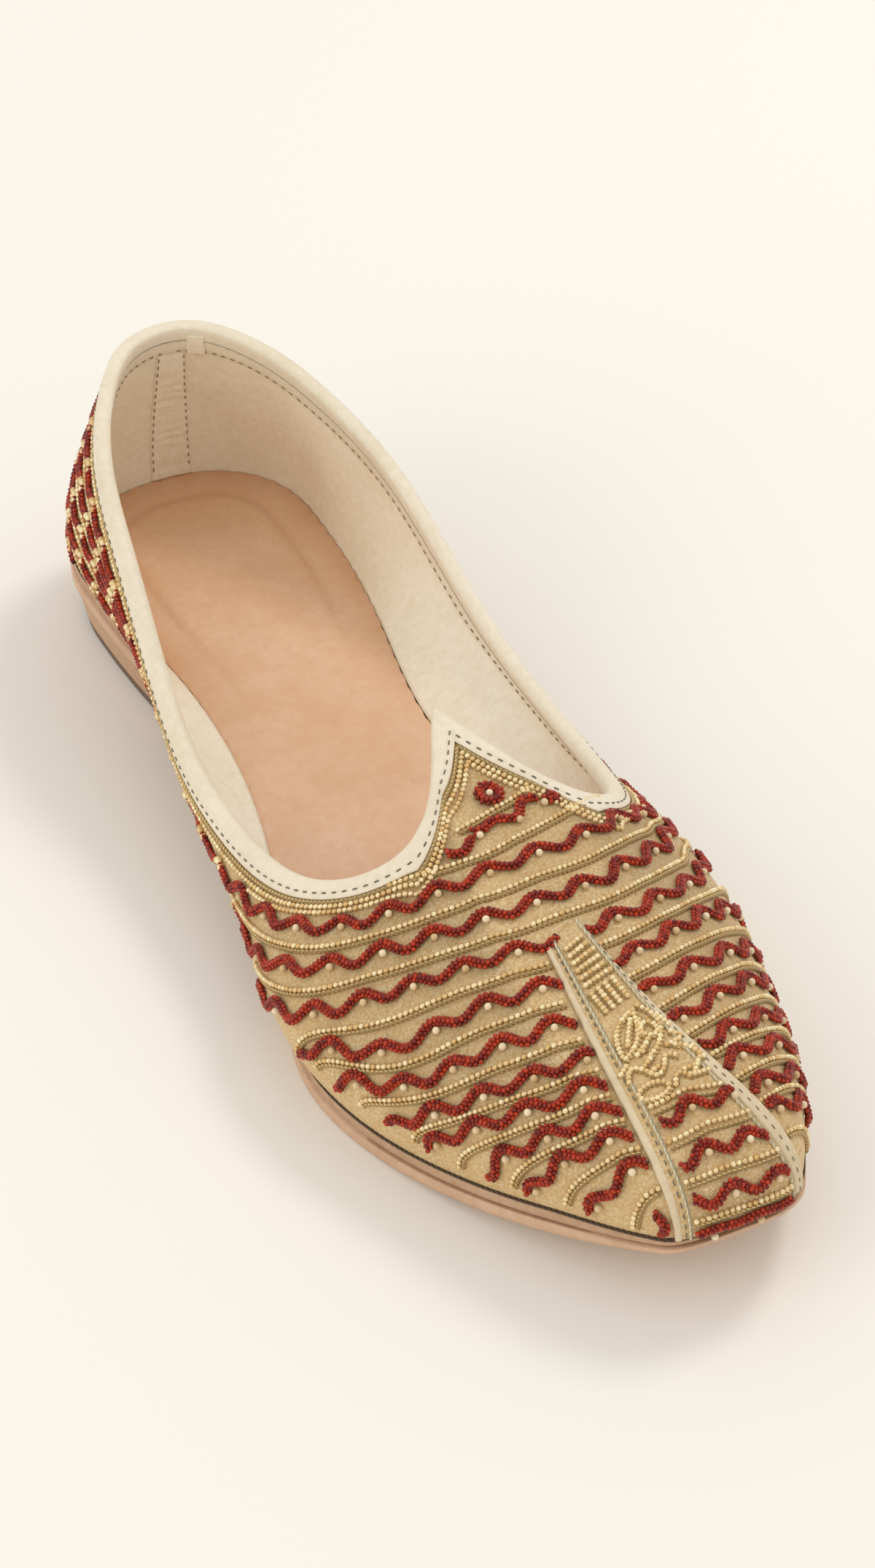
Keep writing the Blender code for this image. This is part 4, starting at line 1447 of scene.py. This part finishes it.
def band_strip(name, start, end, top, edge, look, columns=14, node_name=None):
    """Strip of the toe band between two shares of its width."""
    ups = np.linspace(BAND_LOW, BAND_HIGH, BAND_CUTS)
    share = np.linspace(start, end, columns, axis=-1)
    outer, inner = band_edges(ups)
    around = band_around(share, outer[:, None], inner[:, None])
    across = np.linspace(-1, 1, columns)
    height = GAP + (top - GAP) * (0.35 + 0.65 * rounded(across, edge))
    up = np.broadcast_to(ups[:, None], around.shape)
    return patch(name, around, up, np.broadcast_to(height, around.shape), GAP, look, node_name)


def band_line(share, lift, spacing=0.5):
    """Line along the toe band at one share of its width."""
    ups = np.linspace(BAND_LOW, BAND_HIGH, BAND_SAMPLES)
    return raised(lay(band_around(share, *band_edges(ups)), ups, spacing), BAND_LIFT + lift)


def dashes(line, length, pitch, bow=0.1):
    """Short stitches along a line."""
    made = []
    for start in np.arange(0.3, line.way[-1] - pitch, pitch):
        keep = (line.way >= start) & (line.way <= start + length)
        rise = bow * np.sin(math.pi * (line.way[keep] - start) / length)
        made.append((line.place[keep] + line.out[keep] * rise[:, None], line.out[keep]))
    return made


def toe_band():
    """Toe band: cloth panel, a cream strip along either edge with a twisted cord and stitches, beadwork."""
    band_strip("band_panel", -1, 1, BAND_LIFT, 0.06, BAND_CLOTH, 48, "toe_band")
    widening = np.linspace(0.83, 0.66, BAND_CUTS)
    band_strip("band_inner_strip", widening, 1.01, BAND_LIFT + 0.3, 0.3, EDGE_LEATHER)
    band_strip("band_outer_strip", -1.02, -0.91, BAND_LIFT + 0.35, 0.9, EDGE_LEATHER)
    outer_cord = band_line(-0.79, 0.2)
    inner_cord = band_line(np.linspace(0.79, 0.60, BAND_SAMPLES), 0.2)
    edges = [cord_along(line) for line in (outer_cord, inner_cord)]
    cords("band_twisted_cords", edges, 0.38, CREAM_CORD, sides=8)
    inner_share = np.linspace(0.91, 0.82, BAND_SAMPLES)
    outer_dashes = dashes(band_line(-0.855, 0.08, STITCH_SPACING), 1.3, 2.1)
    inner_dashes = dashes(band_line(inner_share, 0.28, STITCH_SPACING), 1.1, 2.3)
    cords("band_stitches", outer_dashes + inner_dashes, 0.12, DARK_THREAD)
    band_motif()
    band_rows()


# Beaded figure on the upper part of the toe band, as places in plan: bars, leaf, flower, scrolls
LADDER = [((-4.4 - 0.2 * k, 218.0 + 2.0 * k), (-0.3 + 0.25 * k, 216.6 + 2.0 * k)) for k in range(6)]
LONG_BARS = [((-5.4 + 1.8 * k, 230.4 - 0.5 * k), (-4.9 + 1.8 * k, 236.0 - 0.5 * k)) for k in range(4)]
LEAF = (
    ((-0.4, 237.6), (-4.0, 239.4), (-6.6, 243.0), (-7.4, 247.6)),
    ((-0.4, 237.6), (-1.4, 241.8), (-4.0, 245.6), (-7.4, 247.6)),
    ((-1.8, 239.6), (-3.6, 242.2), (-5.6, 245.6)),
)
STEM = ((1.0, 237.0), (2.6, 239.4), (2.8, 242.6), (1.4, 245.6), (-0.6, 247.8), (-3.4, 249.4))
SCROLL = (
    (-9.0, 252.4),
    (-7.2, 250.0),
    (-5.0, 251.4),
    (-3.4, 253.4),
    (-1.4, 252.4),
    (0.4, 250.0),
    (2.6, 251.0),
)
LOW_SCROLL = (
    (-1.2, 256.8),
    (0.6, 254.6),
    (2.8, 255.8),
    (4.8, 254.0),
    (6.6, 252.0),
    (5.4, 249.4),
    (3.0, 248.2),
)
SIDE_BARS = (
    ((3.6, 240.2), (4.6, 243.4)),
    ((4.0, 245.0), (5.8, 247.0)),
    ((6.3, 249.6), (7.4, 253.4)),
    ((-7.8, 249.0), (-9.6, 250.2)),
    ((-1.4, 243.4), (-0.2, 239.8)),
    ((-3.2, 247.4), (-0.6, 244.8)),
    ((1.6, 247.8), (4.7, 247.2)),
    ((2.0, 254.2), (5.7, 253.9)),
    ((2.2, 255.9), (6.7, 255.8)),
    ((-4.6, 250.5), (-2.4, 249.3)),
    ((-4.3, 252.3), (-1.5, 251.5)),
    ((-4.6, 247.6), (-2.6, 246.4)),
)


def band_motif():
    """Gold beads in bars, a leaf, a flower, scrolls and a loop."""
    figures = LADDER + LONG_BARS + list(LEAF) + [STEM, SCROLL, LOW_SCROLL] + list(SIDE_BARS)
    lines = [lay_in_plan(places, BAND_LIFT) for places in figures]
    lines.append(ring_in_plan(0.4, 243.0, 1.5, 1.7, BAND_LIFT))
    lines.append(ring_in_plan(-5.6, 256.2, 3.2, 1.7, BAND_LIFT))
    places = [chain(line, MOTIF_STEP, 0.4) for line in lines]
    # Darker gold threads set toward the lower side of each line: couching thread, and partly painted shadow
    # along that side.
    threads = [(line.place - line.rise * 0.5 + line.out * 0.1, line.out) for line in lines]
    beads("band_motif_beads", places, MOTIF_BEAD, GOLD_METAL)
    cords("band_motif_threads_and_shade", threads, THIN_CORD, DARK_GOLD)


# Short red end that curls round the foot of the band's outer edge
TOE_CURL = ((0.4770, 0.4782, 0.4786, 0.4776), (0.105, 0.085, 0.060, 0.035))

# Rows across the toe band, by how far up the skin they lie at either edge: waving cords with their swing and
# first crest, and rows of beads. A reach gives the shares of the band's width between which a row runs
BAND_WAVE = 9.5
WAVE_REACH = (-0.66, 0.72)
BEAD_REACH = (-0.70, 0.74)
BAND_WAVES = (
    (0.330, 0.335, 1.5, 6.5),
    (0.235, 0.235, 1.6, 5.5),
    (0.125, 0.115, 1.5, 8.0),
    (0.025, 0.020, 0.3, 3.0),
)
BAND_BEADS = (
    (0.365, 0.360),
    (0.285, 0.290),
    (0.185, 0.180),
    (0.070, 0.060),
)


def across_band(outer_up, inner_up, start, end, lift=BAND_LIFT):
    """Line across the toe band, from one share of its width to another."""
    share = np.linspace(start, end, 160)
    up = outer_up + (inner_up - outer_up) * (share - start) / (end - start)
    return raised(lay(band_around(share, *band_edges(up)), up, FIGURE_SPACING), lift)


def band_rows():
    """Rows across the lower part of the toe band."""
    curl = raised(lay(*TOE_CURL, FIGURE_SPACING), ROPE_LIFT)
    red = [rope(*cord_along(curl))]
    cores = []
    under_crests = []
    for outer_up, inner_up, swing, start in BAND_WAVES:
        line = across_band(outer_up, inner_up, *WAVE_REACH)
        turns = wave_turns(line, start, BAND_WAVE)
        centre = waved(line, swing, turns) + line.out * ROPE_LIFT
        red.append(rope(centre, line.out))
        cores.append((centre, line.out))
        under_crests.append(crest_pearls(line, crests(turns), swing, BAND_PEARL_DROP, BAND_PEARL_LIFT))
    below = 0.016
    gold = [chain(across_band(*ups, *BEAD_REACH)) for ups in BAND_BEADS]
    low_ups = [(outer_up - below, inner_up - below) for outer_up, inner_up in BAND_BEADS]
    dark = [cord_along(across_band(*ups, *BEAD_REACH, BAND_LIFT + 0.2)) for ups in low_ups]
    beads("band_red_cords", red, ROPE_BEAD, RED_GLASS)
    pearls("band_pearls", under_crests)
    beads("band_bead_rows", gold, GOLD_BEAD, GOLD_METAL)
    cords("band_red_cores", cores, ROPE_CORE, RED_CORE)
    cords("band_gold_cords", dark, THIN_CORD, DARK_GOLD)


# Figures between the throat's point and the first row, as places in plan
THROAT_WAVE = ((-6.6, 181.4), (-1.0, 182.6), (4.6, 180.6), (8.6, 178.6))
THROAT_CURL = ((-13.8, 184.6), (-11.8, 186.0), (-9.4, 185.0), (-8.4, 183.6))
THROAT_PEARLS = ((0.4, 175.0), (-6.2, 183.8), (3.0, 183.4), (10.2, 180.6))
THROAT_BEAD_ROWS = (
    ((-9.6, 180.4), (-3.0, 179.4), (3.0, 178.0), (9.8, 175.6)),
    ((-26.0, 182.6), (-17.0, 186.6), (-8.0, 188.2), (0.0, 187.4), (8.0, 185.4), (17.0, 182.2), (25.0, 177.2)),
)


def throat_work():
    """Small figures between the throat's point and the first row: a ring, a short wave, a curl and a dot."""
    wave = lay_in_plan(THROAT_WAVE)
    middle = waved(wave, 1.1, wave_turns(wave, 5.0, 9.0)) + wave.out * ROPE_LIFT
    curl = lay_in_plan(THROAT_CURL, ROPE_LIFT)
    ring = ring_in_plan(0.4, 175.0, 2.1, 2.1, ROPE_LIFT)
    dot = ring_in_plan(12.4, 179.6, 0.8, 0.8, ROPE_LIFT, 0.2)
    figures = [(middle, wave.out)] + [cord_along(line) for line in (curl, ring, dot)]
    beads("throat_red_work", [rope(*figure) for figure in figures], ROPE_BEAD, RED_GLASS)
    cords("throat_red_cores", figures, 0.6, RED_CORE)
    around, up = on_skin(*np.array(THROAT_PEARLS).T)
    pearls("throat_pearls", layer(around, up, np.full(len(up), 0.8)))
    lines = [lay_in_plan(row) for row in THROAT_BEAD_ROWS]
    beads("throat_bead_rows", [chain(line) for line in lines], GOLD_BEAD, GOLD_METAL)
    sides = [cord_beside(line) for line in lines]
    cords("throat_gold_cords", sides, GOLD_CORD / 2, DARK_GOLD)


def corner_shade_line():
    """Dark cord in the corner between the cloth and the sole: painted shade, standing in for the shadow in
    that corner.
    """
    line = raised(lay(np.linspace(0, 1, ROUND_SAMPLES + 1), 0.004, 0.8), 0.1)
    cords("corner_shade_line", [cord_along(line)], THIN_CORD, CORNER_SHADE_CORD)


def heel_seam():
    """Seam down the back of the heel: two cords with a row of beads between them."""
    apart = 0.0019
    ups = np.linspace(0.92, 0.01, 120)
    left, middle, right = [lay(np.full(len(ups), turn), ups, 0.5) for turn in (-apart, 0.0, apart)]
    sides = [cord_along(raised(line, 0.4)) for line in (left, right)]
    cords("heel_seam_cords", sides, 0.5, DARK_GOLD)
    beads("heel_seam_beads", [chain(middle)], GOLD_BEAD, GOLD_METAL)


def on_lining(line, lift):
    """The line laid on the lining instead, so far off it and facing into the shoe."""
    return line._replace(place=line.place - line.out * (WALL + lift), out=-line.out)


def heel_strip():
    """Strip over the seam inside the heel, with its stitches."""
    columns = 16
    share = np.linspace(-1, 1, columns)
    ups = np.linspace(0.905, 0.03, 110)
    around = np.broadcast_to(-0.0053 + 0.0083 * share[None, :], (len(ups), columns))
    up = np.broadcast_to(ups[:, None], around.shape)
    puckers = 0.09 * np.sin(ups * 95 + 2.0 * np.sin(ups * 21)) * ease((0.9 - ups) / 0.2)
    thick = 0.2 + 0.45 * rounded(share, 0.22)[None, :] + puckers[:, None] * (1 - share[None, :] ** 2)
    patch("heel_strip", around, up, -WALL - thick, -WALL + 0.05, LINING_LEATHER)
    seams = []
    for turn in (-0.0128, 0.0022):
        seam = lay(np.full(120, turn), np.linspace(0.9, 0.04, 120), STITCH_SPACING)
        seams += dashes(on_lining(seam, 0.62), 1.1, 2.4, 0.08)
    cords("heel_strip_stitches", seams, 0.15, LINING_THREAD)


def binding_lap():
    """Lap of the binding inside the heel, beside the strip."""
    share = np.linspace(-1, 1, 12)
    ups = np.linspace(0.975, 0.865, 24)
    around = np.broadcast_to(-0.0200 + 0.0055 * share[None, :], (len(ups), len(share)))
    top = -WALL - 1.0 - 0.25 * rounded(share, 0.25)[None, :] + 0 * ups[:, None]
    up = np.broadcast_to(ups[:, None], around.shape)
    patch("binding_lap", around, up, top, -WALL - 0.3, LINING_LEATHER)


def inner_stitching():
    """Ridge and stitches on the binding's inner leg."""
    ridge = on_lining(all_round(2.6, 0.7), BINDING_TOP - 0.05)
    cords("inner_ridge", [cord_along(ridge)], 0.4, CREAM_LEATHER_CORD, sides=8, flat=0.7)
    line = on_lining(all_round(5.9, STITCH_SPACING), BINDING_TOP + 0.02)
    cords("inner_stitches", dashes(line, 1.2, 2.5), 0.17, LINING_THREAD)


def crest_pearls(line, at, swing, drop=PEARL_DROP, lift=PEARL_LIFT):
    """A pearl under each crest of a waving cord."""
    return line.place[at] + line.rise[at] * (swing - drop) + line.out[at] * lift


def crest_clusters(laid, at):
    """Three gold beads in each break of a rope."""
    return [laid.place[at] + laid.along[at] * way + laid.rise[at] * rise for way, rise in CLUSTER]


def red_lines():
    """Middle lines of the waving ropes, each with the way along it to a crest."""
    long_rows = [long_row(*row) for row in zip(VAMP_ROWS, SIDE_ROWS, QUARTER_DEPTHS)]
    short_rows = [short_row(row) for row in VAMP_ROWS[len(long_rows):]]
    lines = [lay(*row, ROPE_SPACING) for row in long_rows + short_rows]
    starts = [crest_way(line, crest) for line, crest in zip(lines, CREST_X)]
    lines += [lay(*heel_row(depth), ROPE_SPACING) for depth in HEEL_ROWS]
    starts += [0.0] * len(HEEL_ROWS)
    return zip(lines, starts)


def red_rows():
    """Waving ropes of red beads and the pearls beside their crests; in the quarters gold beads break them."""
    vamp = []
    quarter = []
    cores = []
    under_crests = []
    clusters = []
    for line, start in red_lines():
        over_vamp = np.abs(line.around - MIDDLE) < VAMP_HALF
        swing = np.where(over_vamp, SWING, QUARTER_SWING)
        turns = wave_turns(line, start)
        laid = line._replace(place=waved(line, swing, turns) + line.out * ROPE_LIFT)
        whole = np.cos(2 * math.pi * turns) <= CREST_BREAK
        for places, keep in ((vamp, over_vamp), (quarter, ~over_vamp & whole)):
            for part in pick(laid, keep & on_cloth(line)):
                places.append(rope(*cord_along(part)))
                cores.append(cord_along(part))
        at = crests(turns)
        at = at[on_cloth(line)[at]]
        under_crests.append(crest_pearls(line, at[over_vamp[at]], SWING))
        clusters += crest_clusters(laid, at[~over_vamp[at]])
    beads("red_cords_vamp", vamp, ROPE_BEAD, RED_GLASS)
    beads("red_cords_quarters", quarter, ROPE_BEAD, RED_GLASS)
    cords("red_cord_cores", cores, ROPE_CORE, RED_CORE)
    pearls("pearls", under_crests)
    beads("bead_clusters", clusters, CLUSTER_BEAD, GOLD_METAL, rings=5, segments=8)


def gold_rows():
    """Straight rows of gold beads between the red ones, each with a dark gold cord."""
    pairs = list(zip(VAMP_ROWS, VAMP_ROWS[1:]))
    sides = [between(a, b) for a, b in zip(SIDE_ROWS, SIDE_ROWS[1:])]
    depths = [(a + b) / 2 for a, b in zip(QUARTER_DEPTHS, QUARTER_DEPTHS[1:])]
    rows = [long_row(between(*pair), side, depth) for pair, side, depth in zip(pairs, sides, depths)]
    rows += [short_row(between(*pair)) for pair in pairs[len(rows):]]
    rows.append(short_row(LAST_GOLD_ROW))
    heel_depths = [depth + QUARTER_PITCH / 2 for depth in (QUARTER_DEPTHS[-1], *HEEL_ROWS)]
    rows += [heel_row(depth) for depth in heel_depths]
    places = []
    dark = []
    for line in [lay(*row, ROW_SPACING) for row in rows]:
        for part in pick(line, on_cloth(line)):
            places.append(chain(part, lift=ROW_BEAD_LIFT))
            dark.append([field[::2] for field in cord_beside(part)])
    return places, dark


def edging():
    """Cord and a row of beads just below the binding, and a second row round the throat."""
    cord = raised(all_round(BINDING_LEG + 0.75, 0.7), 0.35)
    first = all_round(BINDING_LEG + 1.7, ROW_SPACING)
    second = lay(*depth_row(BINDING_LEG + 3.0, 0.28, 0.72), ROW_SPACING)
    return [chain(first), chain(second)], [cord_along(cord)]


def beadwork():
    """All beads and cords of the upper but those of the toe band."""
    red_rows()
    throat_work()
    heel_seam()
    corner_shade_line()
    places, dark = gold_rows()
    edge_places, edge_cords = edging()
    beads("gold_bead_rows", places + edge_places, GOLD_BEAD, GOLD_METAL)
    cords("dark_gold_cords", dark + edge_cords, GOLD_CORD / 2, DARK_GOLD)


def binding_stitches():
    """Short dark stitches along the binding's outer leg."""
    line = raised(all_round(BINDING_LEG - 1.2, STITCH_SPACING), BINDING_TOP + 0.02)
    return cords("binding_stitches", dashes(line, 1.25, 2.6), 0.18, DARK_THREAD)


# Stage


def stage():
    """Plain pale floor."""
    half = FLOOR_HALF
    ends = ((-half, -half), (half, -half), (half, half), (-half, half))
    form = bmesh.new()
    form.faces.new([form.verts.new((x, y, 0.0)) for x, y in ends])
    mesh = bpy.data.meshes.new("studio_floor")
    form.to_mesh(mesh)
    form.free()
    mesh.materials.append(plain_floor())
    made = bpy.data.objects.new("studio_floor", mesh)
    bpy.context.scene.collection.objects.link(made)


def lamp(name, place, aim, size, power, tint):
    """Round soft light that shines from a place towards another."""
    data = bpy.data.lights.new(name, "AREA")
    data.shape = "DISK"
    data.size = size
    data.energy = power
    data.color = tint
    made = bpy.data.objects.new(name, data)
    made.location = place
    made.rotation_euler = (Vector(aim) - Vector(place)).to_track_quat("-Z", "Y").to_euler()
    bpy.context.scene.collection.objects.link(made)


def lights():
    """Even light from all round, with a key lamp and a fill lamp."""
    world = bpy.data.worlds.new("studio")
    world.use_nodes = True
    background = world.node_tree.nodes["Background"]
    background.inputs["Color"].default_value = colour(WORLD_COLOUR)
    background.inputs["Strength"].default_value = WORLD_STRENGTH
    bpy.context.scene.world = world
    bpy.context.scene.view_settings.view_transform = "Standard"
    for settings in LAMPS:
        lamp(*settings)


def camera():
    """Camera at the photograph's viewing angle."""
    data = bpy.data.cameras.new("camera")
    data.lens = CAMERA_LENS
    data.sensor_width = SENSOR
    made = bpy.data.objects.new("camera", data)
    turn = (CAMERA_TARGET - CAMERA_PLACE).to_track_quat("-Z", "Y").to_matrix()
    made.matrix_world = Matrix.Translation(CAMERA_PLACE) @ turn.to_4x4()
    bpy.context.scene.collection.objects.link(made)
    bpy.context.scene.camera = made


camera()
stage()
lights()
shell()
topline_binding()
outsole()
midsole()
heel()
insole()
toe_band()
beadwork()
binding_stitches()
inner_stitching()
heel_strip()
binding_lap()
